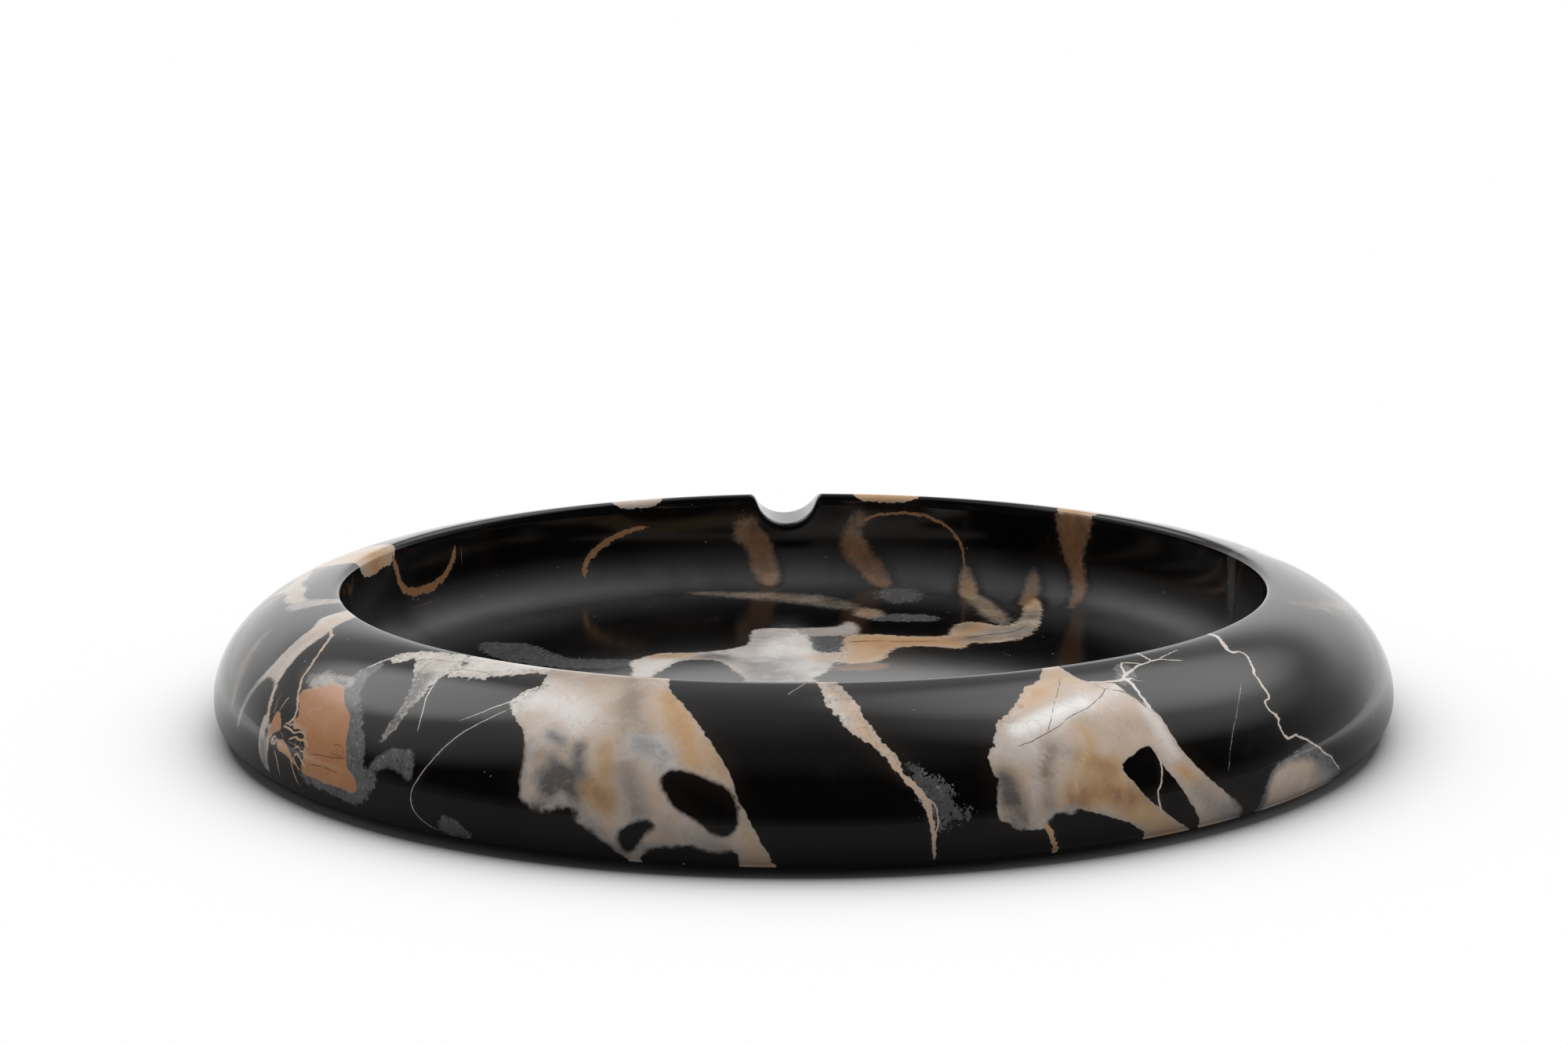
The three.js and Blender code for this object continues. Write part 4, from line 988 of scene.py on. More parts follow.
    def add_veins(self, base):
        """Pale veins, each with a faint halo. The finest run straightest."""
        graph, look = self.graph, self.look
        for number, layer in enumerate(VEIN_LAYERS):
            line, width, tone = graph.attribute("vein_" + layer)
            bend = graph.noise(self.place, 3.0, detail=5, rough=0.62, seed=71 + number)
            waviness = 0.3 + width.smooth(0.02, 0.3) * 0.7
            line = abs(line + ((bend - 0.5) * 1.4 + (self.fine - 0.5) * 0.8) * waviness)
            width = width * (0.15 + self.fine * 1.4 + self.grain.smooth(0.4, 0.6) * 0.3)
            shown = width.smooth(0.01, 0.05)
            halo = line.smooth(width + 1.2, width) * shown * self.middle.smooth(0.3, 0.7) * 0.14
            base = graph.mix(halo, base, look.halo)
            stone = graph.ramp(tone + (self.middle - 0.5) * 0.5, (
                (0.0, look.white), (0.4, look.beige), (0.75, look.gold), (1.0, look.rust)))
            vein = line.smooth(width + 0.07, width - 0.06) * shown * bend.smooth(0.2, 0.4)
            base = graph.mix(vein, base, stone)
        return base


def marble_material(look):
    """Black polished stone with pale patches, grey clouds, veins and cracks."""
    material, graph = new_material("marble")
    marble = Marble(graph, look)
    base, cloud = marble.add_clouds(marble.ground())
    base, patch = marble.add_patches(base, cloud)
    base = marble.add_veins(marble.add_cracks(base))
    haze = graph.noise(marble.place, 16, detail=4, rough=0.6, seed=81)
    roughness = look.roughness + marble.dull + haze.smooth(0.45, 0.75) * 0.035 + patch * 0.05
    sockets = {"Base Color": base, "Roughness": roughness, "IOR": look.refraction}
    graph.principled(sockets, haze + marble.fine * 0.15, strength=0.05, depth=0.1)
    return material


def felt_material(look):
    """Pressed felt: matted fibres, strands across them and a little lint."""
    material, graph = new_material("felt")
    place = graph.position()
    matted = graph.noise(place, 0.5, detail=5, rough=0.7)
    strands = graph.number("ShaderNodeTexWave", {"bands_direction": "DIAGONAL"}, {
        "Vector": place, "Scale": 2.2, "Distortion": 9.0, "Detail": 4.0, "Detail Scale": 2.5}, "Fac")
    lint = graph.noise(place, 0.18, detail=2, seed=5).smooth(0.66, 0.74)
    base = graph.mix((matted * 0.7 + strands * 0.3).smooth(0.3, 0.7), look.felt, look.felt_light)
    base = graph.mix(lint * 0.5, base, look.lint)
    sockets = {
        "Base Color": base, "Roughness": 0.85 + matted * 0.15, "Sheen Weight": 0.4, "Sheen Roughness": 0.5}
    graph.principled(sockets, matted + strands * 0.5, strength=0.7, depth=0.12)
    return material


def adhesive_material(look):
    """A film of glue, yellowed in places, with small air bubbles."""
    material, graph = new_material("adhesive")
    place = graph.position()
    cloudy = graph.noise(place, 3, detail=4, rough=0.6)
    bubble = graph.cells(place, 0.8).smooth(0.22, 0.1)
    base = graph.mix(cloudy.smooth(0.4, 0.65), look.adhesive, look.adhesive_aged)
    base = graph.mix(bubble * 0.4, base, look.white)
    sockets = {"Base Color": base, "Roughness": 0.35 + cloudy * 0.25}
    graph.principled(sockets, cloudy + bubble, strength=0.3, depth=0.05)
    return material


# The turned body.
def arc(middle, reach, start, stop, rows):
    """Places as (radius, height) along an arc of an ellipse, by its angles from the vertical."""
    turns = np.linspace(start, stop, rows)
    return np.stack((middle[0] + reach[0] * np.sin(turns), middle[1] + reach[1] * np.cos(turns)), 1)


class BodyShape:
    """The outline of the stone and the rest that is cut through its rim."""

    def __init__(self, size):
        low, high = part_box(BODY_NODE)
        self.size, self.bottom = size, low.z
        self.outer = min(high.x - low.x, high.y - low.y) / 2
        self.height = high.z - low.z
        self.bowl = self.outer - size.rim_width
        self.base = self.outer - size.base_set_in
        self.dome_centre = self.bowl - size.crest_set_in
        self.dome_half_width = self.outer - self.dome_centre
        self.lip_edge = self.bowl + size.lip_radius
        self.lip_share = (self.lip_edge - self.dome_centre) / self.dome_half_width
        self.dome_half_height = (self.height - size.widest_height) / math.sqrt(1 - self.lip_share**2)

    def dome(self, radius):
        """Height of the rim without the rest."""
        share = (radius - self.dome_centre) / self.dome_half_width
        return self.size.widest_height + self.dome_half_height * np.sqrt(np.maximum(0, 1 - share**2))

    def channel(self, offset):
        """Height of the rest's half-round bottom, which runs on along its tangent near the top."""
        half = self.size.rest_width / 2
        on_circle = np.minimum(np.abs(offset), ROUND_SHARE * half)
        rise = np.sqrt(half**2 - on_circle**2)
        bottom = self.height - self.size.rest_depth
        return bottom + half - rise + on_circle / rise * (np.abs(offset) - on_circle)

    def lowering(self, radius, offset):
        """How far the rest lowers the rim."""
        dome, blend = self.dome(np.maximum(radius, self.lip_edge)), self.size.rest_edge_blend
        channel = self.channel(offset)
        share = np.clip(0.5 + (channel - dome) / (2 * blend), 0, 1)
        return dome - (channel + (dome - channel) * share - blend * share * (1 - share))

    def profile(self):
        """Rows of (radius, height, share of the rest's lowering), and the first rows of side and floor."""
        size, arris, widest = self.size, self.size.base_chamfer, self.size.widest_height
        flat, floor_radius = self.base - arris, self.bowl - size.cove_radius
        wall_top, wall_foot = self.height - size.lip_radius, size.floor_thickness + size.cove_radius
        under_shares = 1 - np.geomspace(1 - INNERMOST, INNERMOST, UNDERSIDE_ROWS)
        underside = [(flat * share, 0) for share in under_shares]
        edge = arc((flat, arris), (arris, -arris), 0, QUARTER_TURN, ARRIS_ROWS)
        inward = size.base_set_in / (1 - math.cos(SIDE_SWEEP))
        down = (widest - arris) / math.sin(SIDE_SWEEP)
        side_turn = QUARTER_TURN - SIDE_SWEEP
        side = arc((self.outer - inward, widest), (inward, -down), side_turn, QUARTER_TURN, SIDE_ROWS)
        dome_reach, lip_turn = (self.dome_half_width, self.dome_half_height), math.asin(self.lip_share)
        dome = arc((self.dome_centre, widest), dome_reach, QUARTER_TURN, lip_turn, DOME_ROWS)
        lip = arc((self.lip_edge, wall_top), (-size.lip_radius, size.lip_radius), 0, QUARTER_TURN, LIP_ROWS)
        wall_shares = np.linspace(1, 0, WALL_ROWS)
        wall = [(self.bowl, wall_foot + (wall_top - wall_foot) * share) for share in wall_shares]
        cove_reach = (size.cove_radius, -size.cove_radius)
        cove = arc((floor_radius, wall_foot), cove_reach, QUARTER_TURN, 0, COVE_ROWS)
        floor_shares = np.linspace(1, INNERMOST, FLOOR_ROWS)
        floor = [(floor_radius * share, size.floor_thickness) for share in floor_shares]
        # From the side on, each stretch leaves out its first row, because the one before it ends there.
        stretches = (
            (underside, 0), (edge, 0), (side[1:], 0), (dome[1:], 1), (lip[1:], 1),
            (wall[1:], wall_shares[1:]), (cove[1:], 0), (floor[1:], 0))
        rows = np.vstack([
            np.column_stack((places, np.broadcast_to(sink, len(places)))) for places, sink in stretches])
        return rows, UNDERSIDE_ROWS, len(rows) - FLOOR_ROWS

    def columns(self):
        """Angles of the columns at the bowl wall, across the rest and then round to it again. They are
        closest in front, where the stone is drawn most finely."""
        reach = math.asin(REST_REACH * self.size.rest_width / 2 / self.bowl)
        right, left = math.radians(180 - FRONT_RIGHT), math.radians(180 + FRONT_LEFT)
        return np.concatenate((
            np.linspace(-reach, reach, REST_COLUMNS),
            np.linspace(reach, right, RIGHT_COLUMNS)[1:-1],
            np.linspace(right, left, FRONT_COLUMNS),
            np.linspace(left, 2 * math.pi - reach, LEFT_COLUMNS)[1:-1]))


class BodyGrid:
    """The body's vertices by row and column, and how far over the surface each row is from the first."""

    def __init__(self, shape):
        self.shape = shape
        self.rows, self.side_from, self.floor_from = shape.profile()
        self.turns = shape.columns()
        self.steps = np.concatenate(([0], np.cumsum(np.hypot(*np.diff(self.rows[:, :2], axis=0).T))))
        radius, height, sink = (self.rows[:, i, None] for i in range(3))
        # Over the rim the columns near the rest run parallel to it, elsewhere they are radial.
        offset = np.sin(self.turns) * shape.bowl
        parallel = (np.abs(offset) < PARALLEL_REACH * shape.size.rest_width) & (np.cos(self.turns) > 0)
        held_radius = np.maximum(radius, self.rows[self.floor_from, 0])
        held_radius[:self.side_from] = self.rows[self.side_from, 0]
        turn = np.where(parallel, np.arcsin(np.clip(offset / held_radius, -1, 1)), self.turns)
        self.x, self.y = radius * np.sin(turn), radius * np.cos(turn)
        lowering = np.where(self.y > 0, shape.lowering(radius, self.x), 0)
        self.z = height - sink * lowering + shape.bottom

    def vertices(self):
        """All vertices row by row, then the middle of the underside and the middle of the floor."""
        rings = np.stack((self.x, self.y, self.z), 2).reshape(-1, 3)
        floor = self.shape.bottom + self.shape.size.floor_thickness
        return np.vstack((rings, ((0, 0, self.shape.bottom), (0, 0, floor))))

    def surface(self, vertices):
        """The vertices in the charts of the outlines."""
        rows, shape = self.rows, self.shape
        off_lip = np.abs(rows[:, 0] - shape.lip_edge) + np.abs(rows[:, 1] - shape.height)
        from_lip = (self.steps[np.argmin(off_lip)] - self.steps) / MM
        along = np.append(np.repeat(from_lip, len(self.turns)), (from_lip[0], from_lip[-1]))
        turn = np.arctan2(vertices[:, 0], -vertices[:, 1])
        # The floor's chart is measured over the surface from the innermost ring of the bowl floor.
        plan = (along - from_lip[-1])[:, None] * np.stack((np.sin(turn), -np.cos(turn)), 1)
        return Surface(np.degrees(turn), along, plan)


class MapLayout:
    """Lays the body flat in the unit square: underside and floor as discs, the rim as four strips."""

    GAP = 4 * MM

    def __init__(self, grid):
        shape = grid.shape
        self.grid, self.outer = grid, shape.outer
        self.turns = np.append(grid.turns, grid.turns[0] + 2 * math.pi) - grid.turns[0]
        self.heights = grid.steps - grid.steps[grid.side_from]
        self.strip = shape.outer * QUARTER_TURN + self.GAP
        self.strips_foot = 2 * shape.base + self.GAP
        self.under_middle = (shape.base, shape.base)
        floor = shape.bowl - shape.size.cove_radius
        self.floor_middle = (self.strips_foot + floor, floor)
        self.scale = 1 / (self.floor_middle[0] + floor + self.GAP)

    def on_strip(self, row, column, quarter):
        up, right = divmod(quarter, 2)
        across = right * self.strip + (self.turns[column] - quarter * QUARTER_TURN) * self.outer
        foot = self.strips_foot + up * (self.heights[self.grid.floor_from] + self.GAP)
        return across * self.scale, (foot + self.heights[row]) * self.scale

    def disc_middle(self, row):
        return self.under_middle if row <= self.grid.side_from else self.floor_middle

    def on_disc(self, row, column):
        across, up = self.disc_middle(row)
        place = row, column % len(self.grid.turns)
        return (across + self.grid.x[place]) * self.scale, (up + self.grid.y[place]) * self.scale

    def face(self, corners):
        """Map places of a face, from its corners as (row, column)."""
        row, column = corners[0]
        if self.grid.side_from <= row < self.grid.floor_from:
            quarter = int((self.turns[column] + self.turns[column + 1]) / 2 / QUARTER_TURN)
            return [self.on_strip(*corner, quarter) for corner in corners]
        return [self.on_disc(*corner) for corner in corners]

    def fan(self, ends):
        """The same for a face from the middle of a disc to two ends on its innermost ring."""
        across, up = self.disc_middle(ends[0][0])
        return [(across * self.scale, up * self.scale), *(self.on_disc(*end) for end in ends)]


def ring_faces(rows, around):
    """The corners, as (row, column), of every face between rows of vertices that go round."""
    for row in range(rows - 1):
        for column in range(around):
            yield (row, column), (row, column + 1), (row + 1, column + 1), (row + 1, column)


def vertex_numbers(corners, around):
    """The numbers of the vertices at corners given as (row, column)."""
    return [row * around + column % around for row, column in corners]


def smooth_mesh(name, vertices, faces):
    mesh = bpy.data.meshes.new(name)
    mesh.from_pydata(vertices, [], faces)
    mesh.polygons.foreach_set("use_smooth", np.ones(len(faces), bool))
    mesh.update()
    return mesh


def body_mesh(shape):
    """The body's mesh: vertices in rows round the axis, a map for its textures, and the stone's fields."""
    grid = BodyGrid(shape)
    layout = MapLayout(grid)
    count, around = grid.x.shape
    faces, places = [], []
    for corners in ring_faces(count, around):
        faces.append(vertex_numbers(corners, around))
        places += layout.face(corners)
    # Underside and floor close with a fan each, the first turned to face down.
    under_middle, floor_middle = count * around, count * around + 1
    for row, middle, onward in ((0, under_middle, -1), (count - 1, floor_middle, 1)):
        for column in range(around):
            ends = ((row, column), (row, column + 1))[::onward]
            faces.append([middle, *vertex_numbers(ends, around)])
            places += layout.fan(ends)
    vertices = grid.vertices()
    mesh = smooth_mesh(BODY_NODE, vertices.tolist(), faces)
    uv = mesh.uv_layers.new(name="OFBake")
    uv.data.foreach_set("uv", np.asarray(places, np.float32).ravel())
    add_fields(mesh, grid.surface(vertices))
    return mesh


def add_fields(mesh, surface):
    """Writes the distances to patches and veins to the mesh, for the marble's nodes."""
    pale, cloud = patch_field(surface, "pale"), patch_field(surface, "cloud")
    cut_holes(surface, pale)
    grey_and_shade = add_strokes(surface, pale)
    dull = np.interp(surface.along, *zip(*DULLNESS))
    dust_and_sheen = np.interp(surface.along, *zip(*DUST_AND_SHEEN))
    fields = {
        "pale": pale[:, :STRENGTH],
        "cloud": cloud[:, :STRENGTH],
        "tint": np.column_stack((grey_and_shade, pale[:, SOFT])),
        "finish": np.column_stack((pale[:, STRENGTH], dull, dust_and_sheen)),
    }
    for layer in VEIN_LAYERS + CRACK_LAYERS:
        fields["vein_" + layer] = vein_field(surface, layer)
    for name, values in fields.items():
        attribute = mesh.attributes.new(name, "FLOAT_VECTOR", "POINT")
        attribute.data.foreach_set("vector", values.astype(np.float32).ravel())


# The felt feet.
def felt_outline(radius, thickness, edge):
    """Half the section of a foot: underside, rounded edge, wall, rounded edge, top."""
    under_shares = np.linspace(FELT_UNDER_FROM, FELT_UNDER_TO, FELT_UNDER_ROWS)
    inside = radius - edge
    return np.vstack((
        [(radius * share, 0) for share in under_shares],
        arc((inside, edge), (edge, -edge), 0, QUARTER_TURN, FELT_LOWER_EDGE_ROWS),
        [(radius, thickness * share) for share in FELT_WALL_SHARES],
        arc((inside, thickness - edge), (edge, edge), QUARTER_TURN, 0, FELT_UPPER_EDGE_ROWS),
        [(radius * share, thickness) for share in FELT_TOP_SHARES]))


def uneven(turn, waves, shifts):
    """A number from 0 to 1 that changes round a disc as two waves do."""
    first, second = (math.sin(wave * turn + shift) for wave, shift in zip(waves, shifts))
    return 0.5 + 0.5 * first * second


def felt_mesh(name, low, high, size):
    """A die-cut felt disc: cut edge a little rough, underside pressed a little uneven."""
    radius, thickness = min(high.x - low.x, high.y - low.y) / 2, high.z - low.z
    middle = (low + high) / 2
    outline = felt_outline(radius, thickness, size.felt_edge)
    vertices = []
    for row, (out, up) in enumerate(outline):
        fray_shifts = FRAY_SHIFTS[0] * row, FRAY_SHIFTS[1] * row**2
        press_shifts = PRESS_SHIFTS[0] * row, PRESS_SHIFTS[1] * row + QUARTER_TURN
        for column in range(FELT_COLUMNS):
            turn = 2 * math.pi * column / FELT_COLUMNS
            frayed = size.felt_fray * uneven(turn, FRAY_WAVES, fray_shifts)
            pressed = size.felt_fray * uneven(turn, PRESS_WAVES, press_shifts)
            out_here = out - frayed if out > FRAYED_FROM * radius else out
            up_here = up + pressed if row and up < thickness / 2 else up
            x, y = middle.x + out_here * math.cos(turn), middle.y + out_here * math.sin(turn)
            vertices.append((x, y, low.z + up_here))
    faces = [vertex_numbers(corners, FELT_COLUMNS) for corners in ring_faces(len(outline), FELT_COLUMNS)]
    faces.append(list(range(FELT_COLUMNS))[::-1])
    faces.append(list(range(len(vertices) - FELT_COLUMNS, len(vertices))))
    return smooth_mesh(name, vertices, faces)


# The studio.
def direction(azimuth, elevation):
    """Unit vector: azimuth in degrees from the front, positive to the right."""
    turn, rise = math.radians(azimuth), math.radians(elevation)
    return Vector((math.sin(turn) * math.cos(rise), -math.cos(turn) * math.cos(rise), math.sin(rise)))


def make_camera(stage):
    """The photograph's viewpoint."""
    camera = bpy.data.objects.new("camera", bpy.data.cameras.new("camera"))
    bpy.context.scene.collection.objects.link(camera)
    camera.data.sensor_width = SENSOR_WIDTH
    camera.data.lens = stage.focal_pixels * SENSOR_WIDTH / PHOTO_WIDTH
    camera.data.clip_start, camera.data.clip_end = CLIP_START, CLIP_END
    place = direction(0, math.degrees(stage.camera_elevation)) * stage.camera_distance
    ahead = -place.normalized()
    right = Vector((1, 0, 0))
    up = right.cross(ahead)
    ahead = (ahead + math.tan(stage.camera_yaw) * right + math.tan(stage.camera_pitch) * up).normalized()
    right = ahead.cross(Vector((0, 0, 1))).normalized()
    up = right.cross(ahead)
    turn = Matrix.Rotation(stage.camera_turn, 4, "Z")
    basis = Matrix((right, up, -ahead)).transposed().to_4x4()
    roll = Matrix.Rotation(stage.camera_roll, 4, "Z")
    camera.matrix_world = turn @ Matrix.Translation(place) @ basis @ roll
    bpy.context.scene.camera = camera


def make_floor(stage):
    """A plain pale floor. Further out it runs into white for what looks at it. Near the object the white
    fades by distance into dark grey, a painted shadow laid over the real shadow that it keeps."""
    reach = stage.floor_reach
    mesh = bpy.data.meshes.new("floor")
    corners = ((-reach, -reach, 0), (reach, -reach, 0), (reach, reach, 0), (-reach, reach, 0))
    mesh.from_pydata(corners, [], [(0, 1, 2, 3)])
    floor = bpy.data.objects.new("floor", mesh)
    bpy.context.scene.collection.objects.link(floor)
    material, graph = new_material("floor")
    place = graph.node("ShaderNodeTexCoord").outputs["Object"]
    distance = Field(graph, graph.vector("LENGTH", place, output="Value"))
    path = graph.node("ShaderNodeLightPath")
    rays = ("Is Camera Ray", "Is Glossy Ray", "Is Transmission Ray")
    seen, glossy, through = (Field(graph, path.outputs[ray]) for ray in rays)
    _, back, _ = graph.parts(place)
    mirrored = glossy.most(through) * back.smooth(stage.mirror_from, stage.mirror_to)
    # White fades in by distance alone: the dark grey ring it leaves round the object is a painted shadow.
    beyond = (distance - stage.painted_shadow_from).most(0.0) / stage.painted_shadow_fade
    white = (1 - graph.math("EXPONENT", -beyond)) * seen.most(mirrored)
    diffuse = graph.node("ShaderNodeBsdfDiffuse", None, {"Color": colour(stage.floor_colour)})
    glow = graph.node("ShaderNodeEmission", None, {"Color": WHITE, "Strength": 1.0})
    shaders = {0: white, 1: diffuse.outputs[0], 2: glow.outputs[0]}
    graph.finish(graph.node("ShaderNodeMixShader", None, shaders))
    mesh.materials.append(material)


def make_world():
    """Broad soft light from behind and above, brighter to both sides, dark behind the camera."""
    world = bpy.data.worlds.new("studio")
    world.use_nodes = True
    bpy.context.scene.world = world
    graph = Graph(world.node_tree)
    towards = graph.node("ShaderNodeTexCoord").outputs["Generated"]
    _, back, up = graph.parts(towards)
    light = LIGHT_ALL_ROUND + back.smooth(-0.2, 0.8) * LIGHT_BEHIND + up.smooth(0.75, 1.0) * LIGHT_ABOVE
    light = light + back.smooth(0.5, 0.9) * up.smooth(0.42, 0.28) * LIGHT_LOW_BEHIND
    light = light + up.smooth(0.22, 0.0) * LIGHT_LOW
    for glow in GLOWS:
        middle = direction(glow.azimuth, glow.elevation)
        facing = Field(graph, graph.vector("DOT_PRODUCT", towards, middle, output="Value"))
        outer, inner = math.cos(math.radians(glow.outer)), math.cos(math.radians(glow.inner))
        light = light + facing.smooth(outer, inner) * glow.strength
    path = graph.node("ShaderNodeLightPath")
    light = light + (1 - light) * Field(graph, path.outputs["Is Camera Ray"])
    background = graph.node("ShaderNodeBackground", None, {"Color": WHITE, "Strength": light})
    graph.node("ShaderNodeOutputWorld", None, {"Surface": background.outputs[0]})


def make_lamp(lamp, watts):
    """A round soft lamp that points at the ashtray. The polish shows the studio, not the lamp."""
    light = bpy.data.lights.new(lamp.name, "AREA")
    light.shape, light.size, light.energy = "DISK", lamp.size, watts
    holder = bpy.data.objects.new(lamp.name, light)
    towards = direction(lamp.azimuth, lamp.elevation)
    holder.location = towards * lamp.distance
    holder.rotation_euler = towards.to_track_quat("Z", "Y").to_euler()
    holder.visible_glossy = False
    bpy.context.scene.collection.objects.link(holder)


# Properties.
def length(name, description, default):
    return bpy.props.FloatProperty(
        name=name, description=description, default=default, min=0, unit="LENGTH", precision=5)


def signed_length(name, description, default):
    return bpy.props.FloatProperty(name=name, description=description, default=default, unit="LENGTH")


def tint(name, description, default):
    return bpy.props.FloatVectorProperty(
        name=name, description=description, default=default, size=3, min=0, max=1, subtype="COLOR")


def angle(name, description, degrees):
    return bpy.props.FloatProperty(
        name=name, description=description, default=math.radians(degrees), unit="ROTATION")


def power(name, description, watts):
    return bpy.props.FloatProperty(name=name, description=description, default=watts, min=0, unit="POWER")


class ASHTRAY_PG_sizes(bpy.types.PropertyGroup):
    """Sizes of the stone and its feet that the frame's box doesn't give."""

    rim_width: length("Rim width", "From the bowl wall to the widest line", 0.0215)
    floor_thickness: length("Floor thickness", "Stone under the bowl", 0.0045)
    widest_height: length("Widest height", "Widest line above the underside", 0.0047)
    crest_set_in: length("Crest set in", "How far inside the bowl wall the dome's crest would fall", 0.0015)
    base_set_in: length("Base set in", "How far the lower edge lies inside the widest line", 0.002)
    base_chamfer: length("Base edge", "Broken edge around the underside", 0.0004)
    lip_radius: length("Lip radius", "Rounding between bowl wall and rim", 0.0012)
    cove_radius: length("Cove radius", "Rounding between bowl wall and bowl floor", 0.006)
    rest_width: length("Rest width", "Width of the cigarette rest", 0.012)
    rest_depth: length("Rest depth", "Depth of the cigarette rest below the lip", 0.006)
    rest_edge_blend: length("Rest edge", "Softness of the rest's polished edges", 0.002)
    felt_edge: length("Felt edge", "Rounding of the felt's cut edge", 0.00025)
    felt_fray: length("Felt fray", "Unevenness of the felt's edge and underside", 0.00012)


class ASHTRAY_PG_look(bpy.types.PropertyGroup):
    """Colours and finish."""

    black: tint("Black", "Ground of the stone", (0.0019, 0.0019, 0.0021))
    brown_black: tint("Brown black", "Warmer parts of the ground", (0.0056, 0.0046, 0.0039))
    veil: tint("Veil", "Faint grey in the ground", (0.030, 0.028, 0.027))
    # Dust and painted sheen, a lighter band along the cove.
    dust_and_sheen: tint("Dust", "Grey dust in the cove", (0.085, 0.085, 0.088))
    cloud_dark: tint("Cloud, dark", "Dark grains of the grey around the patches", (0.030, 0.030, 0.033))
    cloud: tint("Cloud", "Grey around the patches", (0.125, 0.124, 0.126))
    # Dark smudges of the stone, and painted shade on the lower parts of the front patches.
    shade: tint("Shade", "Dark smudges in the patches", (0.090, 0.082, 0.078))
    rust: tint("Rust", "Brown veins of the bowl wall", (0.30, 0.155, 0.075))
    grey: tint("Grey", "Grey in the patches", (0.36, 0.35, 0.345))
    # Whiter than the stone's white: partly painted highlight on the right patch.
    pearl: tint("Pearl", "Whitest stone of the patches", (0.90, 0.865, 0.82))
    white: tint("White", "White stone, specks and crystals", (0.76, 0.715, 0.68))
    ivory: tint("Ivory", "Yellowish crystals", (0.64, 0.57, 0.46))
    beige: tint("Beige", "Common colour of the patches", (0.57, 0.46, 0.38))
    gold: tint("Gold", "Golden stone", (0.58, 0.375, 0.205))
    orange: tint("Orange", "Orange-brown stone", (0.47, 0.215, 0.095))
    stain: tint("Stain", "Stained threads in the patches", (0.52, 0.36, 0.20))
    brown_edge: tint("Brown edge", "Black stone beside a patch", (0.0105, 0.0066, 0.0048))
    crack: tint("Crack", "Dark cracks in the patches", (0.060, 0.045, 0.036))
    halo: tint("Halo", "Tinted stone beside a vein", (0.10, 0.075, 0.055))
    felt: tint("Felt", "Felt", (0.012, 0.012, 0.014))
    felt_light: tint("Felt, light", "Lighter fibres", (0.030, 0.030, 0.034))
    lint: tint("Lint", "Lint on the felt", (0.20, 0.19, 0.18))
    adhesive: tint("Adhesive", "Glue film", (0.68, 0.62, 0.48))
    adhesive_aged: tint("Adhesive, aged", "Yellowed glue", (0.60, 0.50, 0.32))
    roughness: bpy.props.FloatProperty(
        name="Roughness", description="Polish of the stone", default=0.07, min=0, max=1)
    refraction: bpy.props.FloatProperty(
        name="Refraction", description="Refractive index of the stone", default=1.5)


class ASHTRAY_PG_stage(bpy.types.PropertyGroup):
    """Camera, floor and lamps."""

    focal_pixels: bpy.props.FloatProperty(
        name="Focal length", description="In pixels of the photograph", default=3500)
    camera_distance: length("Camera distance", "From the middle of the table under the ashtray", 0.47748)
    camera_elevation: angle("Camera elevation", "Above the table", 14.185)
    camera_yaw: angle("Camera yaw", "Aim to the right of the middle", -0.382)
    camera_pitch: angle("Camera pitch", "Aim above the middle", 3.809)
    camera_roll: angle("Camera roll", "Anticlockwise", -0.257)
    camera_turn: angle("Camera turn", "Round the ashtray", -2.3)
    floor_reach: length("Floor reach", "Half the width of the floor", 4.0)
    # The floor's painted shadow: inside this distance the floor keeps its own dark grey, beyond it fades to
    # white.
    painted_shadow_from: length("Shadow from", "Inside this distance the floor is only lit", 0.0978)
    painted_shadow_fade: length("Shadow fade", "Over about this distance the floor turns white", 0.006)
    mirror_from: signed_length("Mirror from", "Where the polish begins to show a white floor", -0.06)
    mirror_to: signed_length("Mirror to", "Where it shows all of it", 0.06)
    # The floor's own dark grey, which shows near the object as the painted shadow.
    floor_colour: tint("Floor", "Pale floor", (0.19, 0.19, 0.19))
    fill_power: power("Fill", "Soft light from above the front", 2.5)
    front_power: power("Front", "Low soft light from the front", 1.7)
    top_power: power("Top", "Soft light from above the back", 1.8)
    left_power: power("Left", "Low soft light from the left", 3.2)
    right_power: power("Right", "Soft light from the right", 4.8)


# Operators and panel.
def place_piece(name, mesh, material, node):
    """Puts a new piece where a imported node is, instead of it."""
    mesh.materials.append(material)
    piece = bpy.data.objects.new(name, mesh)
    bpy.context.scene.collection.objects.link(piece)
    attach(piece, "root")
    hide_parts(node)
    return piece


class ASHTRAY_OT_stage(bpy.types.Operator):
    """Make the camera, the floor and the light"""

    bl_idname = "ashtray.stage"
    bl_label = "Stage"

    def execute(self, context):
        stage = context.scene.ashtray_stage
        make_camera(stage)
        make_floor(stage)
        make_world()
        for lamp in LAMPS:
            make_lamp(lamp, getattr(stage, lamp.name + "_power"))
        context.scene.view_settings.view_transform = "Standard"
        return {"FINISHED"}


class ASHTRAY_OT_body(bpy.types.Operator):
    """Make the veined stone body"""

    bl_idname = "ashtray.body"
    bl_label = "Stone body"

    def execute(self, context):
        mesh = body_mesh(BodyShape(context.scene.ashtray_sizes))
        place_piece("marble_bowl", mesh, marble_material(context.scene.ashtray_look), BODY_NODE)
        return {"FINISHED"}


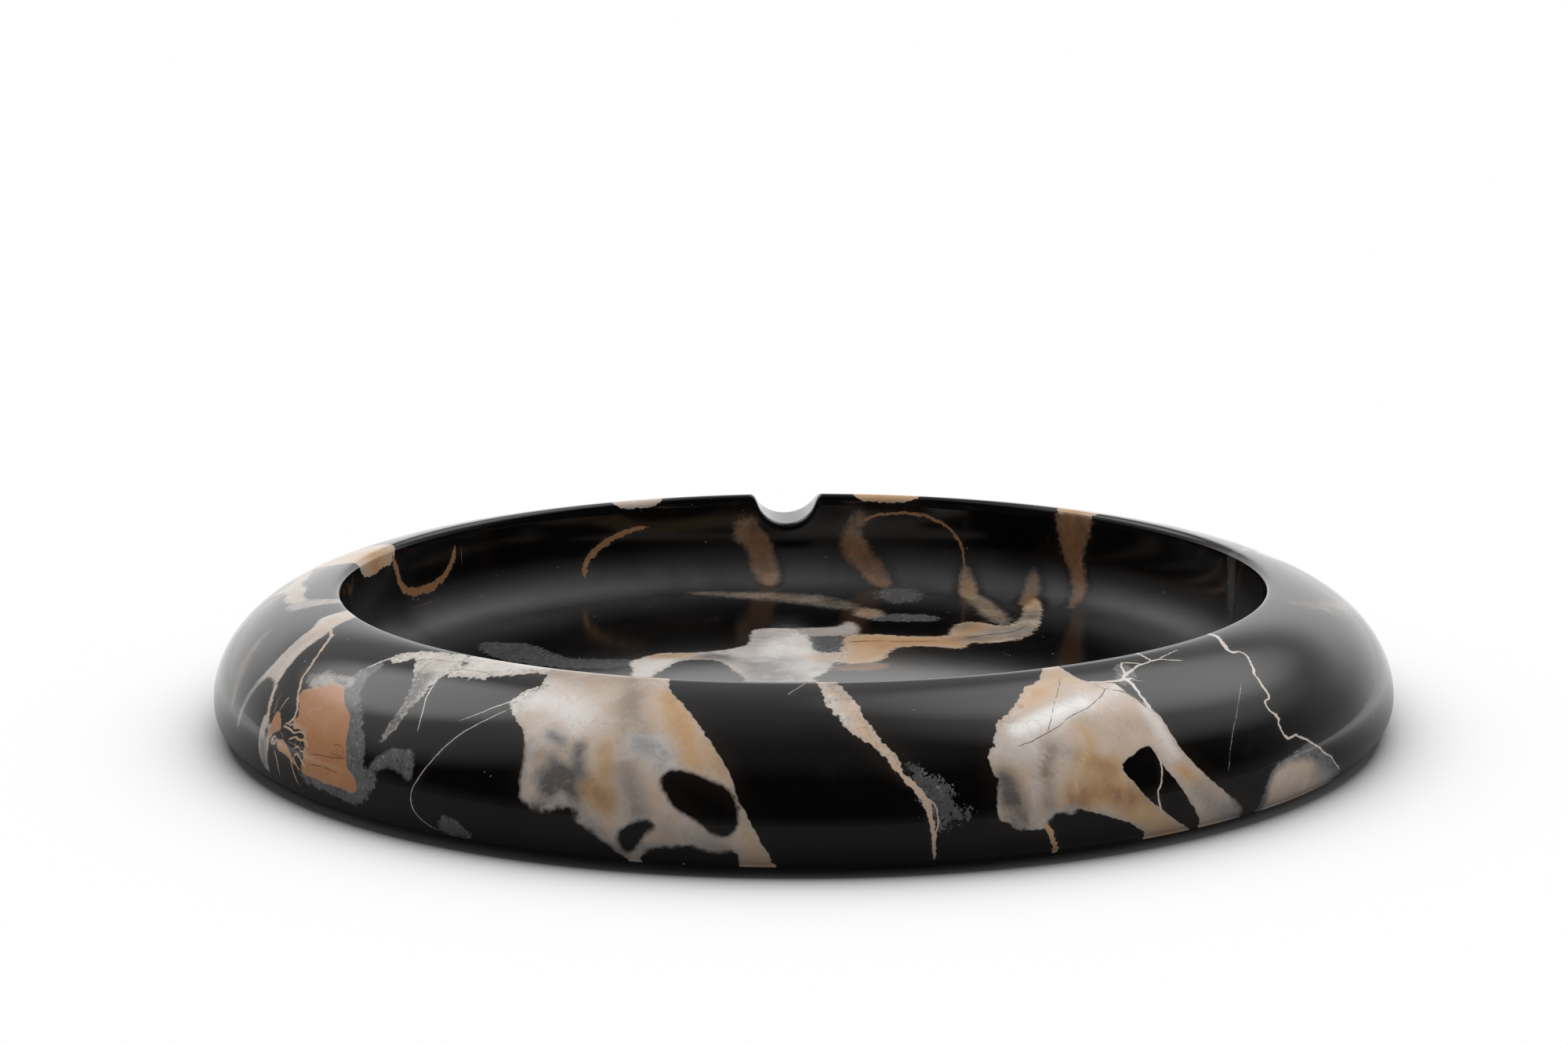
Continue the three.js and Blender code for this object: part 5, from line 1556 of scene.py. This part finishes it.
class ASHTRAY_OT_felt(bpy.types.Operator):
    """Make the felt feet"""

    bl_idname = "ashtray.felt"
    bl_label = "Felt feet"

    def execute(self, context):
        material = felt_material(context.scene.ashtray_look)
        for node in sorted(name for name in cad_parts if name.startswith(FELT_NODE)):
            name = "felt_foot_" + node.removeprefix(FELT_NODE)
            mesh = felt_mesh(name, *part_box(node), context.scene.ashtray_sizes)
            foot = place_piece(name, mesh, material, node)
        return {"FINISHED"}


class ASHTRAY_OT_adhesive(bpy.types.Operator):
    """Give the glue discs their material"""

    bl_idname = "ashtray.adhesive"
    bl_label = "Adhesive discs"

    def execute(self, context):
        material = adhesive_material(context.scene.ashtray_look)
        for name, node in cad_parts.items():
            if name.startswith(ADHESIVE_NODE):
                node.material_slots[0].material = material
        return {"FINISHED"}


OPERATORS = (ASHTRAY_OT_stage, ASHTRAY_OT_body, ASHTRAY_OT_felt, ASHTRAY_OT_adhesive)
GROUPS = {
    "ashtray_sizes": ASHTRAY_PG_sizes,
    "ashtray_look": ASHTRAY_PG_look,
    "ashtray_stage": ASHTRAY_PG_stage,
}


class ASHTRAY_PT_panel(bpy.types.Panel):
    """Lists the steps and their properties"""

    bl_idname = "ASHTRAY_PT_panel"
    bl_label = "Marble ashtray"
    bl_space_type = "VIEW_3D"
    bl_region_type = "UI"
    bl_category = "Ashtray"

    def draw(self, context):
        for operator in OPERATORS:
            self.layout.operator(operator.bl_idname)
        for group, kind in GROUPS.items():
            box = self.layout.box()
            for name in kind.__annotations__:
                box.prop(getattr(context.scene, group), name)


def register():
    for kind in (*GROUPS.values(), *OPERATORS, ASHTRAY_PT_panel):
        bpy.utils.register_class(kind)
    for name, kind in GROUPS.items():
        setattr(bpy.types.Scene, name, bpy.props.PointerProperty(type=kind))


def unregister():
    for name in GROUPS:
        delattr(bpy.types.Scene, name)
    for kind in reversed((*GROUPS.values(), *OPERATORS, ASHTRAY_PT_panel)):
        bpy.utils.unregister_class(kind)


def main():
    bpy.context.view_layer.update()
    register()
    for operator in OPERATORS:
        group, name = operator.bl_idname.split(".")
        getattr(getattr(bpy.ops, group), name)()


if __name__ == "__main__":
    main()
